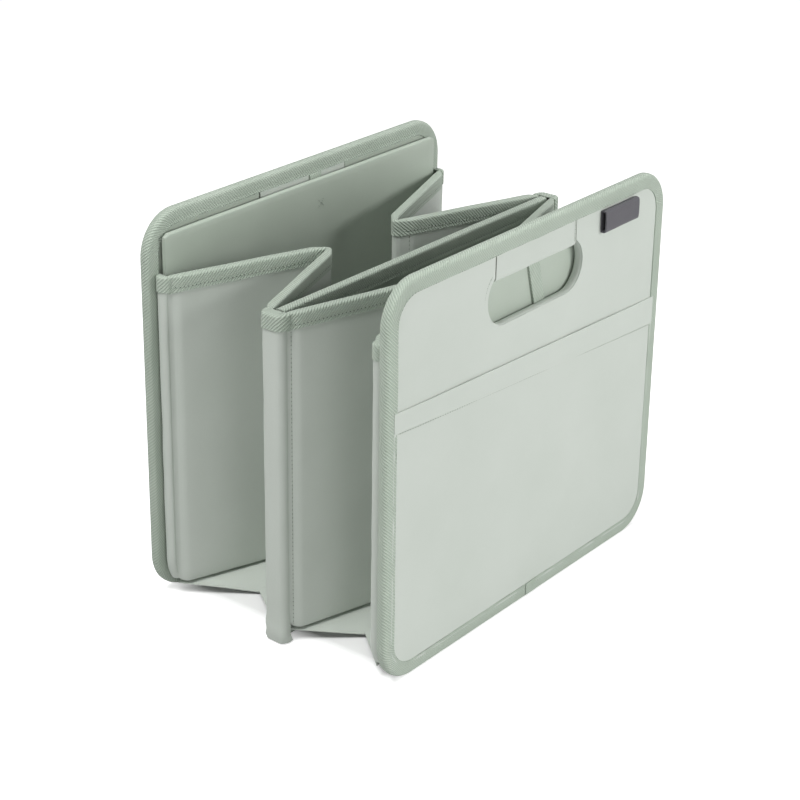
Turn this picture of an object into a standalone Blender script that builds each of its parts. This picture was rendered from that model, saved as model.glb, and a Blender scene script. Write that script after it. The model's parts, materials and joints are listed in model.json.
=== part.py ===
"""Folding storage box, shown half folded: two cloth-covered ends, a divider and two pleated side walls.

The front end faces -Y, the rear end faces +Y and the box folds up along Y like an accordion.
Each side wall has four stiff panels. The bay between an end and the divider is closed on each side
by two of them, which meet at an inner fold and swing inwards by the same angle.
"""

import math

import bmesh
import bpy
from mathutils import Matrix, Vector

# Overall sizes, in metres
WIDTH = 0.320
END_HEIGHT = 0.280
CORNER_RADIUS = 0.030
WALL_TOP = 0.239
WALL_BOTTOM = 0.010
PANEL_LENGTH = 0.120
HINGE_INSET = 0.010

# Fold of each bay: 0 is flat open, 90 would be shut
REAR_FOLD = math.radians(70.5)
FRONT_FOLD = math.radians(74.5)

# Sheet thicknesses and the gaps between layers
CLOTH = 0.0007
BOARD = 0.0030
TAPE = 0.0009
GAP = 0.0003
FOLD_CLEARANCE = 0.0005

# Binding tape, sewn round each end and over each wall's top edge
TAPE_WIDTH = 0.0105
END_TAPE_ROUNDING = 0.0022
WALL_TAPE_ROUNDING = 0.0014
BOARD_ROUNDING = 0.0004

# Carrying handle: a stadium cut-out with a wrapped grip across its top
HOLE_WIDTH = 0.110
HOLE_BOTTOM = 0.219
HOLE_RADIUS = 0.0195
GRIP_WIDTH = 0.092
GRIP_BOTTOM = 0.251
GRIP_SLIT = 0.0008

# Base plates, folded up against the inside of each end
PLATE_TOP = 0.266
PLATE_BOTTOM = 0.0122
PLATE_BOARD = 0.0020
PLATE_STANDOFF = 0.0022
PLATE_SIDE_GAP = 0.0030
PLATE_CORNER = 0.006

# Pull loop sewn on the back of each base plate
LOOP_WIDTH = 0.012
LOOP_TAPE = 0.0007
LOOP_BOTTOM = 0.211
LOOP_TOP = 0.269
LOOP_OFFSET = 0.012

# Cloth seams that hold the side walls to the ends
SEAM_WIDTH = 0.0045
SEAM_ROUNDING = 0.0012

# Hinge strip that holds a base plate's lower edge to its end
STRIP_HEIGHT = 0.014

# Pocket on the front end, its mouth a little higher at the left
POCKET_TOP_LEFT = 0.195
POCKET_TOP_RIGHT = 0.183

# Blank ribbon tag on the front end
TAG_LEFT = 0.076
TAG_LENGTH = 0.042
TAG_HEIGHT = 0.016
TAG_TOP = 0.268
TAG_DEPTH = 0.0050
TAG_RIBBON = 0.0010

# A wall panel thins towards its hinge line and its fold, where its layers are sewn together
HINGE_TAPER = 0.008
FOLD_TAPER = 0.010
PANEL_NOSE = 0.0050
SLANT_ALLOWANCE = 1.06
NOSE_ROUNDING = 0.0008

# Divider, and the cloth column folded round each of its side edges
DIVIDER_SIDE_GAP = 0.003
DIVIDER_HALF_WIDTH = WIDTH / 2 - DIVIDER_SIDE_GAP
DIVIDER_EDGE_REACH = 0.009
DIVIDER_CLEARANCE = 0.0006
DIVIDER_ROUNDING = 0.0020
COLUMN_HALF = 0.0080
COLUMN_DEPTH = 0.0024
COLUMN_ROUNDING = 0.0012

# Floor cloth of each bay
FLOOR_LIFT = 0.0010
FLOOR_CLOTH = 0.0008
FLOOR_OVERHANG = 0.062

# Roundness of drawn arcs
ARC_STEPS = 10
EDGE_STEPS = 3

# Layers through an end, from its outer face inwards
END_CORE_START = TAPE + GAP
END_CORE = 2 * (CLOTH + GAP) + BOARD
END_CORE_STOP = END_CORE_START + END_CORE
END_THICKNESS = END_CORE_STOP + GAP + TAPE
PLATE_START = END_CORE_STOP + PLATE_STANDOFF
PLATE_THICKNESS = 2 * (CLOTH + GAP) + PLATE_BOARD
HINGE_DEPTH = PLATE_START + PLATE_THICKNESS + FOLD_CLEARANCE

# Layers through a wall panel or the divider
SLEEVE = 2 * (CLOTH + GAP) + BOARD
PANEL_THICKNESS = SLEEVE + 2 * (GAP + TAPE)
FOLD_OFFSET = PANEL_THICKNESS + GAP
DIVIDER_HINGE = PANEL_THICKNESS / 2 + DIVIDER_CLEARANCE

# Plan of the box at rest
HINGE_X = WIDTH / 2 - HINGE_INSET
REAR_HALF_BAY = PANEL_LENGTH * math.cos(REAR_FOLD) + FOLD_OFFSET * math.sin(REAR_FOLD)
FRONT_HALF_BAY = PANEL_LENGTH * math.cos(FRONT_FOLD) + FOLD_OFFSET * math.sin(FRONT_FOLD)
LENGTH = 2 * (HINGE_DEPTH + REAR_HALF_BAY + FRONT_HALF_BAY + DIVIDER_HINGE)
TAG_PROUD = TAG_DEPTH - END_CORE_START + GAP
FRONT_Y = (TAG_PROUD - LENGTH) / 2
REAR_Y = FRONT_Y + LENGTH
DIVIDER_Y = FRONT_Y + HINGE_DEPTH + 2 * FRONT_HALF_BAY + DIVIDER_HINGE

for old in list(bpy.data.objects):
    bpy.data.objects.remove(old)

parts = bpy.data.collections.new("folding_storage_box")
cutters = bpy.data.collections.new("cutters")
bpy.context.scene.collection.children.link(parts)
bpy.context.scene.collection.children.link(cutters)


def srgb(hex_colour):
    """Linear colour of an sRGB hex value."""
    channels = [int(hex_colour[i : i + 2], 16) / 255 for i in (0, 2, 4)]
    return [c / 12.92 if c <= 0.04045 else ((c + 0.055) / 1.055) ** 2.4 for c in channels]


def finish_material(name, hex_colour, roughness):
    material = bpy.data.materials.new(name)
    material.use_nodes = True
    shader = material.node_tree.nodes["Principled BSDF"]
    shader.inputs["Base Color"].default_value = (*srgb(hex_colour), 1)
    shader.inputs["Roughness"].default_value = roughness
    shader.inputs["Metallic"].default_value = 0
    material.diffuse_color = (*srgb(hex_colour), 1)
    return material


WOVEN_CLOTH = finish_material("woven_cloth", "C3CCC2", 0.75)
LINING_CLOTH = finish_material("lining_cloth", "9DA99C", 0.6)
BINDING_TAPE = finish_material("binding_tape", "BCCABB", 0.8)
GREY_BOARD = finish_material("grey_board", "8E8A80", 0.9)
TAG_RIBBON_GREY = finish_material("tag_ribbon", "6B6A70", 0.7)


def add_part(name, mesh, material, parent):
    """A named sub-part, hung on the empty that carries its body."""
    piece = bpy.data.objects.new(name, mesh)
    piece.data.materials.clear()
    piece.data.materials.append(material)
    parts.objects.link(piece)
    piece.parent = parent
    return piece


def add_carrier(name, parent, place, turn=0.0):
    """An empty on a body's joint axis. Turn is about Z."""
    carrier = bpy.data.objects.new(name, None)
    parts.objects.link(carrier)
    carrier.parent = parent
    carrier.location = place
    carrier.rotation_euler = (0, 0, turn)
    return carrier


def box_mesh(name, low, high):
    """A box from its lowest to its highest corner."""
    size = Vector(high) - Vector(low)
    middle = (Vector(high) + Vector(low)) / 2
    mesh = bpy.data.meshes.new(name)
    bm = bmesh.new()
    bmesh.ops.create_cube(bm, size=1, matrix=Matrix.Translation(middle) @ Matrix.Diagonal((*size, 1)))
    bm.to_mesh(mesh)
    bm.free()
    return mesh


def prism_mesh(name, outline, bottom, top):
    """An upright prism on an outline in plan."""
    mesh = bpy.data.meshes.new(name)
    bm = bmesh.new()
    lower = [bm.verts.new((x, y, bottom)) for x, y in outline]
    upper = [bm.verts.new((x, y, top)) for x, y in outline]
    bm.faces.new(lower)
    bm.faces.new(upper)
    for i in range(len(outline)):
        bm.faces.new((lower[i - 1], lower[i], upper[i], upper[i - 1]))
    bmesh.ops.recalc_face_normals(bm, faces=bm.faces)
    bm.to_mesh(mesh)
    bm.free()
    return mesh


def open_box_mesh(name, low, high, open_sides, rounded_axis, rounding):
    """A box without its open sides, with the edges along one axis rounded."""
    return open_and_round(box_mesh(name, low, high), open_sides, rounded_axis, rounding)


def open_and_round(mesh, open_sides, rounded_axis, rounding):
    """Takes the open sides off a block and rounds its edges along one axis.

    open_sides holds outward directions such as (0, 0, 1).
    """
    bm = bmesh.new()
    bm.from_mesh(mesh)
    opened = [f for f in bm.faces if any(f.normal.dot(Vector(s)) > 0.9 for s in open_sides)]
    along = Vector(rounded_axis)
    gone = {e for f in opened for e in f.edges if all(g in opened for g in e.link_faces)}
    bmesh.ops.delete(bm, geom=opened, context="FACES_ONLY")
    bmesh.ops.delete(bm, geom=[e for e in gone if e.is_valid], context="EDGES")
    rounded = []
    for edge in bm.edges:
        run = (edge.verts[1].co - edge.verts[0].co).normalized()
        if abs(run.dot(along)) > 0.9 and len(edge.link_faces) == 2:
            rounded.append(edge)
    bmesh.ops.bevel(
        bm,
        geom=rounded,
        offset=rounding,
        segments=EDGE_STEPS,
        profile=0.5,
        affect="EDGES",
        clamp_overlap=True,
    )
    bm.to_mesh(mesh)
    bm.free()
    return mesh


def thicken_inwards(piece, thickness):
    shell = piece.modifiers.new("wall", "SOLIDIFY")
    shell.thickness = thickness
    shell.offset = -1
    shell.use_even_offset = True


def arc(centre, radius, start, stop, steps):
    """Points on an arc, from the start angle to the stop angle in degrees."""
    angles = [math.radians(start + (stop - start) * i / steps) for i in range(steps + 1)]
    return [(centre[0] + radius * math.cos(a), centre[1] + radius * math.sin(a)) for a in angles]


def rounded_rectangle(left, right, bottom, top, radius):
    corners = [(right - radius, top - radius, 0), (left + radius, top - radius, 90)]
    corners += [(left + radius, bottom + radius, 180), (right - radius, bottom + radius, 270)]
    outline = []
    for x, z, start in corners:
        outline += arc((x, z), radius, start, start + 90, ARC_STEPS)
    return outline


def end_outline(inset):
    """The end's rounded outline, drawn in by an inset."""
    half = WIDTH / 2 - inset
    return rounded_rectangle(-half, half, inset, END_HEIGHT - inset, CORNER_RADIUS - inset)


def sheet_mesh(name, loops, start, stop):
    """A flat outline with holes, standing in XZ and reaching from y = start to y = stop."""
    curve = bpy.data.curves.new(name, "CURVE")
    curve.dimensions = "2D"
    curve.fill_mode = "BOTH"
    curve.extrude = (stop - start) / 2
    for loop in loops:
        spline = curve.splines.new("POLY")
        spline.points.add(len(loop) - 1)
        for point, (x, z) in zip(spline.points, loop):
            point.co = (x, z, 0, 1)
        spline.use_cyclic_u = True
    drawn = bpy.data.objects.new(name, curve)
    cutters.objects.link(drawn)
    bpy.context.view_layer.update()
    graph = bpy.context.evaluated_depsgraph_get()
    mesh = bpy.data.meshes.new_from_object(drawn.evaluated_get(graph))
    bpy.data.objects.remove(drawn)
    bm = bmesh.new()
    bm.from_mesh(mesh)
    bmesh.ops.remove_doubles(bm, verts=bm.verts, dist=0.000001)
    upright = Matrix.Translation((0, (start + stop) / 2, 0)) @ Matrix.Rotation(math.pi / 2, 4, "X")
    bmesh.ops.transform(bm, matrix=upright, verts=bm.verts)
    bmesh.ops.recalc_face_normals(bm, faces=bm.faces)
    bm.to_mesh(mesh)
    bm.free()
    mesh.name = name
    return mesh


def cut_away(piece, cutter_mesh):
    """Cuts a solid out of a piece with a Boolean. The cutter shares the piece's carrier."""
    cutter = bpy.data.objects.new(cutter_mesh.name, cutter_mesh)
    cutters.objects.link(cutter)
    cutter.parent = piece.parent
    cutter.hide_render = True
    cutter.display_type = "WIRE"
    cut = piece.modifiers.new("cut", "BOOLEAN")
    cut.operation = "DIFFERENCE"
    cut.solver = "EXACT"
    cut.object = cutter


# Ends, built in a frame with the outer face at y = 0 and the inside towards +Y


def handle_hole(half_top, top):
    """The stadium cut-out, squared off above: half_top is half its width at the top edge."""
    centre_x = HOLE_WIDTH / 2 - HOLE_RADIUS
    centre_z = HOLE_BOTTOM + HOLE_RADIUS
    lean = math.degrees(math.acos((half_top - centre_x) / HOLE_RADIUS))
    right = arc((centre_x, centre_z), HOLE_RADIUS, -90, lean, ARC_STEPS)
    left = [(-x, z) for x, z in reversed(right)]
    return [(half_top, top), (-half_top, top)] + left + right


def cloth_hole():
    """Opening in an end's cloth: the stadium and the slits on both sides of the grip."""
    return handle_hole(GRIP_WIDTH / 2 + GRIP_SLIT, END_HEIGHT - TAPE_WIDTH + GAP)


def board_hole():
    """Opening in an end's board, which leaves a bar for the grip above it."""
    top = GRIP_BOTTOM + CLOTH + GAP
    rise = top - HOLE_BOTTOM - HOLE_RADIUS
    half_top = HOLE_WIDTH / 2 - HOLE_RADIUS + math.sqrt(HOLE_RADIUS**2 - rise**2)
    return handle_hole(half_top, top)[2:]


def build_end_panel(end, carrier):
    """Two cloths and a board, bound round the edge, with a wrapped grip over the hole."""
    core = end_outline(TAPE + GAP)
    layers = [
        ("outer_cloth", cloth_hole(), END_CORE_START, CLOTH, WOVEN_CLOTH),
        ("board", board_hole(), END_CORE_START + CLOTH + GAP, BOARD, GREY_BOARD),
        ("inner_cloth", cloth_hole(), END_CORE_STOP - CLOTH, CLOTH, LINING_CLOTH),
    ]
    for layer, hole, start, thickness, material in layers:
        name = f"{end}_{layer}"
        mesh = sheet_mesh(name, [core, hole], start, start + thickness)
        add_part(name, mesh, material, carrier)
    build_edge_binding(end, carrier)
    build_grip(end, carrier)


def build_edge_binding(end, carrier):
    """Tape folded over the end's edge all the way round, so its section is a U."""
    name = f"{end}_edge_binding"
    binding = add_part(
        name, sheet_mesh(name, [end_outline(0)], 0, END_THICKNESS), BINDING_TAPE, carrier
    )
    round_over = binding.modifiers.new("rounded_edge", "BEVEL")
    round_over.width = END_TAPE_ROUNDING
    round_over.segments = EDGE_STEPS
    round_over.limit_method = "ANGLE"
    round_over.angle_limit = math.radians(60)
    filling = sheet_mesh(f"{name}_filling", [end_outline(TAPE)], TAPE, END_THICKNESS - TAPE)
    cut_away(binding, filling)
    window = sheet_mesh(
        f"{name}_window", [end_outline(TAPE_WIDTH)], -END_THICKNESS, 2 * END_THICKNESS
    )
    cut_away(binding, window)


def build_grip(end, carrier):
    """Cloth wrapped round the bar of board above the hole."""
    name = f"{end}_grip_wrap"
    low = (-GRIP_WIDTH / 2, END_CORE_START, GRIP_BOTTOM)
    high = (GRIP_WIDTH / 2, END_CORE_STOP, END_HEIGHT - TAPE_WIDTH)
    open_sides = [(0, 0, 1), (1, 0, 0), (-1, 0, 0)]
    mesh = open_box_mesh(name, low, high, open_sides, (1, 0, 0), CLOTH + GAP)
    thicken_inwards(add_part(name, mesh, WOVEN_CLOTH, carrier), CLOTH)


def build_base_plate(end, carrier, side):
    """The stiff floor plate of a bay, folded up against the end, with its pull loop and hinge strip.

    Side is +1 where the end's own x runs with the box's X, and -1 where it runs against it.
    """
    half = HINGE_X - PLATE_SIDE_GAP
    stop = PLATE_START + PLATE_THICKNESS
    low = (-half, PLATE_START, PLATE_BOTTOM)
    high = (half, stop, PLATE_TOP)
    name = f"{end}_plate_cover"
    mesh = open_box_mesh(name, low, high, [(0, 0, -1)], (0, 1, 0), PLATE_CORNER)
    thicken_inwards(add_part(name, mesh, LINING_CLOTH, carrier), CLOTH)

    inset = CLOTH + GAP
    outline = rounded_rectangle(
        -half + inset, half - inset, PLATE_BOTTOM + inset, PLATE_TOP - inset, PLATE_CORNER - inset
    )
    name = f"{end}_plate_board"
    mesh = sheet_mesh(name, [outline], PLATE_START + inset, stop - inset)
    add_part(name, mesh, GREY_BOARD, carrier)

    build_pull_loop(end, carrier, side)
    build_plate_hinge(end, carrier)


def build_pull_loop(end, carrier, side):
    """A hairpin of tape: its outline is drawn in profile and given the tape's width."""
    reach = (PLATE_STANDOFF - 2 * GAP) / 2
    middle = END_CORE_STOP + PLATE_STANDOFF / 2
    bend = LOOP_TOP - reach
    outside = [(reach, LOOP_BOTTOM)] + arc((0, bend), reach, 0, 180, ARC_STEPS) + [(-reach, LOOP_BOTTOM)]
    slot = reach - LOOP_TAPE
    inside = [(-slot, LOOP_BOTTOM)] + arc((0, bend), slot, 180, 0, ARC_STEPS) + [(slot, LOOP_BOTTOM)]
    name = f"{end}_pull_loop"
    centre = side * LOOP_OFFSET
    mesh = sheet_mesh(name, [outside + inside], -LOOP_WIDTH / 2, LOOP_WIDTH / 2)
    mesh.transform(Matrix.Translation((centre, middle, 0)) @ Matrix.Rotation(math.pi / 2, 4, "Z"))
    add_part(name, mesh, BINDING_TAPE, carrier)


def build_plate_hinge(end, carrier):
    """A cloth strip: one leg on the end's inner cloth, one under the plate's lower edge."""
    name = f"{end}_plate_hinge"
    start = END_CORE_STOP + GAP
    bottom = PLATE_BOTTOM - GAP - CLOTH
    ledge = PLATE_START + PLATE_THICKNESS
    outline = [(start, bottom), (ledge, bottom), (ledge, bottom + CLOTH), (start + CLOTH, bottom + CLOTH)]
    outline += [(start + CLOTH, bottom + STRIP_HEIGHT), (start, bottom + STRIP_HEIGHT)]
    half_length = WIDTH / 2 - CORNER_RADIUS
    mesh = sheet_mesh(name, [outline], -half_length, half_length)
    mesh.transform(Matrix.Rotation(math.pi / 2, 4, "Z"))
    add_part(name, mesh, LINING_CLOTH, carrier)


def build_wall_seams(end, carrier):
    """Folded cloth along both upright seams, between the end and the first wall panels."""
    for side, x in (("left", -HINGE_X), ("right", HINGE_X)):
        name = f"{end}_seam_{side}"
        low = (x - SEAM_WIDTH / 2, END_THICKNESS + GAP, WALL_BOTTOM)
        high = (x + SEAM_WIDTH / 2, HINGE_DEPTH - FOLD_CLEARANCE, WALL_TOP)
        seam = add_part(name, box_mesh(name, low, high), LINING_CLOTH, carrier)
        soften = seam.modifiers.new("soft_edges", "BEVEL")
        soften.width = SEAM_ROUNDING
        soften.segments = EDGE_STEPS


def build_pocket(carrier):
    """Cloth laid over the front end inside its binding, open along its top."""
    inset = TAPE_WIDTH + GAP
    half = WIDTH / 2 - inset
    radius = CORNER_RADIUS - inset
    outline = [(half, POCKET_TOP_RIGHT), (-half, POCKET_TOP_LEFT)]
    outline += arc((-half + radius, inset + radius), radius, 180, 270, ARC_STEPS)
    outline += arc((half - radius, inset + radius), radius, 270, 360, ARC_STEPS)
    back = END_CORE_START - GAP
    mesh = sheet_mesh("front_pocket", [outline], back - CLOTH, back)
    add_part("front_pocket", mesh, WOVEN_CLOTH, carrier)


def build_tag(carrier):
    """A blank loop of ribbon that stands off the cloth, open at both ends."""
    back = END_CORE_START - GAP
    low = (TAG_LEFT, back - TAG_DEPTH, TAG_TOP - TAG_HEIGHT)
    high = (TAG_LEFT + TAG_LENGTH, back, TAG_TOP)
    open_sides = [(1, 0, 0), (-1, 0, 0)]
    mesh = open_box_mesh("front_tag", low, high, open_sides, (1, 0, 0), TAG_RIBBON)
    thicken_inwards(add_part("front_tag", mesh, TAG_RIBBON_GREY, carrier), TAG_RIBBON)


# Walls, built in a frame with the hinge line at the origin, the panel along +X
# and its thickness towards +Y or -Y


def build_sleeve(name, outline, board_low, board_high, bottom, rounding, carrier, place, turn, material):
    """A cloth sleeve open at its top, the board in it and the tape folded over its top edge.

    outline(skin) is the plan of the bound panel, drawn in by a skin on both faces. board_low and
    board_high are the board's corners in plan. Wall panels and divider are made alike.
    """
    skin = TAPE + GAP
    inset = CLOTH + GAP
    mesh = prism_mesh(f"{name}_cover", outline(skin), bottom, WALL_TOP - skin)
    mesh = open_and_round(mesh, [(0, 0, 1)], (0, 0, 1), rounding)
    cover = add_part(f"{name}_cover", mesh, material, carrier)
    thicken_inwards(cover, CLOTH)

    low = (*board_low, bottom + inset)
    high = (*board_high, WALL_TOP - skin)
    board_rounding = max(rounding - inset, BOARD_ROUNDING)
    mesh = open_box_mesh(f"{name}_board", low, high, [], (0, 0, 1), board_rounding)
    board = add_part(f"{name}_board", mesh, GREY_BOARD, carrier)

    mesh = prism_mesh(f"{name}_binding", outline(0), WALL_TOP - TAPE_WIDTH, WALL_TOP)
    open_sides = [(0, 0, -1), (1, 0, 0), (-1, 0, 0)]
    mesh = open_and_round(mesh, open_sides, (1, 0, 0), WALL_TAPE_ROUNDING)
    binding = add_part(f"{name}_binding", mesh, BINDING_TAPE, carrier)
    thicken_inwards(binding, TAPE)

    for piece in (cover, board, binding):
        piece.location = place
        piece.rotation_euler = (0, 0, turn)


def build_wall_panel(name, carrier, thickness_side, place=(0, 0, 0), turn=0.0):
    """One wall panel. thickness_side is +1 or -1: the panel's outer face lies towards that y."""

    def outline(skin):
        slant = SLANT_ALLOWANCE * skin
        outer = PANEL_THICKNESS - skin
        points = [(GAP, skin), (PANEL_LENGTH - FOLD_TAPER - skin / 2, skin)]
        points += [(PANEL_LENGTH - GAP, PANEL_THICKNESS - PANEL_NOSE + slant), (PANEL_LENGTH - GAP, outer)]
        points += [(HINGE_TAPER + skin / 2, outer), (GAP, PANEL_NOSE - slant)]
        return [(x, thickness_side * y) for x, y in points]

    skin = TAPE + GAP
    inset = skin + CLOTH + GAP
    near, far = sorted((thickness_side * inset, thickness_side * (PANEL_THICKNESS - inset)))
    board_low = (HINGE_TAPER + skin, near)
    board_high = (PANEL_LENGTH - FOLD_TAPER - skin, far)
    build_sleeve(
        name, outline, board_low, board_high, WALL_BOTTOM, NOSE_ROUNDING, carrier, place, turn, WOVEN_CLOTH
    )


def build_bay_wall(side_name, side, numbers, hinge_carrier, hinge_place, heading, fold):
    """Two panels of one side wall, from a hinge line to the next body's hinge line.

    Side is -1 for the left wall and +1 for the right. heading is the turn of the hinge carrier
    in the plan. Returns the second panel's carrier, on whose far end the next body hangs.
    """
    near_name = f"{side_name}_{numbers[0]}"
    far_name = f"{side_name}_{numbers[1]}"
    along = -math.pi / 2 - side * fold
    near = add_carrier(near_name, hinge_carrier, hinge_place, along - heading)
    build_wall_panel(f"wall_{near_name}", near, side)
    fold_line = (PANEL_LENGTH, side * FOLD_OFFSET, 0)
    far = add_carrier(far_name, near, fold_line, 2 * side * fold)
    place = (PANEL_LENGTH, -side * FOLD_OFFSET, 0)
    build_wall_panel(f"wall_{far_name}", far, -side, place, math.pi)
    return far


def build_divider(carrier):
    """Divider panel with its tape, and a cloth column round each side edge."""
    half = DIVIDER_HALF_WIDTH

    def outline(skin):
        reach = PANEL_THICKNESS / 2 - skin
        return [(-half, -reach), (half, -reach), (half, reach), (-half, reach)]

    inset = CLOTH + GAP
    corner = Vector((half - inset, BOARD / 2))
    build_sleeve(
        "divider", outline, -corner, corner, 0, DIVIDER_ROUNDING, carrier, (0, 0, 0), 0.0, LINING_CLOTH
    )
    for side_name, side in (("left", -1), ("right", 1)):
        name = f"divider_edge_{side_name}"
        plan = [(side * x, y) for x, y in divider_edge_outline()]
        mesh = sheet_mesh(name, [plan], -(WALL_TOP - TAPE_WIDTH - GAP), 0)
        mesh.transform(Matrix.Rotation(-math.pi / 2, 4, "X"))
        add_part(name, mesh, WOVEN_CLOTH, carrier)


def divider_edge_outline():
    """Plan of the cloth on the right edge: two legs on the divider's faces and a column outside."""
    slot = SLEEVE / 2 + GAP
    leg = slot + CLOTH
    start = DIVIDER_HALF_WIDTH - DIVIDER_EDGE_REACH
    back = DIVIDER_HALF_WIDTH + GAP
    nose = back + CLOTH
    lip = nose - COLUMN_DEPTH
    centre = (nose - COLUMN_ROUNDING, COLUMN_HALF - COLUMN_ROUNDING)
    corner = arc(centre, COLUMN_ROUNDING, 90, 0, EDGE_STEPS)
    half_plan = [(start, slot), (start, leg), (lip, leg), (lip, COLUMN_HALF)] + corner
    mirrored = [(x, -y) for x, y in reversed(half_plan)]
    return half_plan + mirrored + [(back, -slot), (back, slot)]


def build_floor_cloth(end, carrier, half_bay, fold):
    """Thin cloth between an end and the divider, drawn in at the waist as the walls fold in.

    It is built in the end's frame, where the divider lies towards +Y.
    """
    name = f"{end}_floor_cloth"
    start = END_THICKNESS + GAP
    stop = HINGE_DEPTH + 2 * half_bay + DIVIDER_HINGE - SLEEVE / 2 - 2 * GAP - CLOTH
    middle = HINGE_DEPTH + half_bay
    waist = HINGE_X - PANEL_LENGTH * math.sin(fold) + FOLD_OFFSET * math.cos(fold) + FLOOR_OVERHANG
    half = HINGE_X
    outline = [(-half, start), (half, start), (waist, middle), (half, stop), (-half, stop)]
    outline += [(-waist, middle)]
    mesh = sheet_mesh(name, [outline], -FLOOR_LIFT - FLOOR_CLOTH, -FLOOR_LIFT)
    mesh.transform(Matrix.Rotation(-math.pi / 2, 4, "X"))
    add_part(name, mesh, LINING_CLOTH, carrier)


rear_end = add_carrier("rear_end", None, (0, REAR_Y, 0), math.pi)
build_end_panel("rear", rear_end)
build_base_plate("rear", rear_end, -1)
build_wall_seams("rear", rear_end)
build_floor_cloth("rear", rear_end, REAR_HALF_BAY, REAR_FOLD)

# The rear end's own frame is turned half round, so the left wall hangs at its +x side
left_2 = build_bay_wall("left", -1, (1, 2), rear_end, (HINGE_X, HINGE_DEPTH, 0), math.pi, REAR_FOLD)
build_bay_wall("right", 1, (1, 2), rear_end, (-HINGE_X, HINGE_DEPTH, 0), math.pi, REAR_FOLD)

# The divider turns on the second left panel's far line. Its carrier stands on that axis,
# and a second empty brings the divider's own frame to its centre.
divider_heading = math.pi / 2 + REAR_FOLD
divider_axis = add_carrier("divider", left_2, (PANEL_LENGTH, FOLD_OFFSET, 0), divider_heading)
divider = add_carrier("divider_centre", divider_axis, (HINGE_X, -DIVIDER_HINGE, 0))
build_divider(divider)

left_4 = build_bay_wall("left", -1, (3, 4), divider, (-HINGE_X, -DIVIDER_HINGE, 0), 0, FRONT_FOLD)
build_bay_wall("right", 1, (3, 4), divider, (HINGE_X, -DIVIDER_HINGE, 0), 0, FRONT_FOLD)

front_heading = math.pi / 2 + FRONT_FOLD
front_axis = add_carrier("front_end", left_4, (PANEL_LENGTH, FOLD_OFFSET, 0), front_heading)
front_end = add_carrier("front_end_face", front_axis, (HINGE_X, -HINGE_DEPTH, 0))
build_end_panel("front", front_end)
build_base_plate("front", front_end, 1)
build_wall_seams("front", front_end)
build_floor_cloth("front", front_end, FRONT_HALF_BAY, FRONT_FOLD)
build_pocket(front_end)
build_tag(front_end)
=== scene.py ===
# %% [markdown]
# The folding storage box: a small sewing lesson in Blender. The stiff parts, the hinge lines and the
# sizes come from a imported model, which is loaded here and never changed. Everything that the eye
# meets on the real box is cloth, tape or thread, so this script cuts those pieces flat at their real
# size, carries each point to where it is sewn, and gives them woven materials.

# %% Load the stiff model
import json
import math

import bpy
import numpy as np
from mathutils import Matrix, Vector, noise

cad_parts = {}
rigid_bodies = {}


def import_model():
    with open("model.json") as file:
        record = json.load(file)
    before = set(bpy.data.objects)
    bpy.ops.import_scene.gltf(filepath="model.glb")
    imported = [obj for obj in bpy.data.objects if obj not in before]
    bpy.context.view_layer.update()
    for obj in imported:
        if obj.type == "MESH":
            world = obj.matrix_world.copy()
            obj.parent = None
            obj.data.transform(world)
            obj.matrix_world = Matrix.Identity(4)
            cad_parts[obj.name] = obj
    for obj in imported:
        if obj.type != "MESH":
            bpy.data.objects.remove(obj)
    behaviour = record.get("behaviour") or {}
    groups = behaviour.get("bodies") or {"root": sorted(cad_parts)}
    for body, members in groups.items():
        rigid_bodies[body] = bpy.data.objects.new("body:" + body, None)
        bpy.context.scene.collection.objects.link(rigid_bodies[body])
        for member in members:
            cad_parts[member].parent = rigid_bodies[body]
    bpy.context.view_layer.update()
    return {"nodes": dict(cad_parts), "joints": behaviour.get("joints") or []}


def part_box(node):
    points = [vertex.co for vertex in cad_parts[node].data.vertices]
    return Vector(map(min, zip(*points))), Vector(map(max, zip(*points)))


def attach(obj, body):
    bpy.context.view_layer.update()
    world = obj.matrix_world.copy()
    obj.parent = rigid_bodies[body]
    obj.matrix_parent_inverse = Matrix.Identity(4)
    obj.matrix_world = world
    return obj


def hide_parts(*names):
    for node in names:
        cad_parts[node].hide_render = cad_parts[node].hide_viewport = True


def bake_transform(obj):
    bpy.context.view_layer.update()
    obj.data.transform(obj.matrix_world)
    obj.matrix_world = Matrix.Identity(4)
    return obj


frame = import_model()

# %% [markdown]
# Measures are read from the loaded pieces where they can be, so cloth and board always agree. The
# corner radius and the widths of tapes and hems are stated once here, in metres. Each side wall of a
# bay is described by three upright hinge lines: near, fold and far.

# %% Measures of the box
MM = 0.001
binding_low, binding_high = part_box("front_edge_binding")
WIDTH = binding_high.x - binding_low.x
END_HEIGHT = binding_high.z
END_DEPTH = binding_high.y - binding_low.y
FRONT_Y = binding_low.y
REAR_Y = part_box("rear_edge_binding")[1].y
WALL_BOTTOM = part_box("wall_left_1_cover")[0].z
WALL_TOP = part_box("wall_left_1_binding")[1].z
PANEL_LENGTH = 0.120
PANEL_DEPTH = 0.0074
FOLD_OFFSET = 0.0077
CORNER_RADIUS = 0.030
TAPE_WIDTH = 0.0105
TAPE = 0.0007
CLOTH = 0.0007

hinge_at = {joint["name"]: Vector(joint["pos_m"]) for joint in frame["joints"]}
HINGE_X = hinge_at["rear_right_hinge"].x
FACE = 0.0012
BACK = 0.0062
print("width, height and depth of an end:", WIDTH, END_HEIGHT, END_DEPTH)

# %% [markdown]
# The photograph was taken from the left and above, with a long lens that keeps the upright edges of
# the box nearly parallel. The place, direction and lens below come from matching sixteen corners of
# the box with their places in the picture, to about eight pixels. No part of the frame is shifted,
# so that the same camera also frames the box when it is turned around to its other sides.

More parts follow.
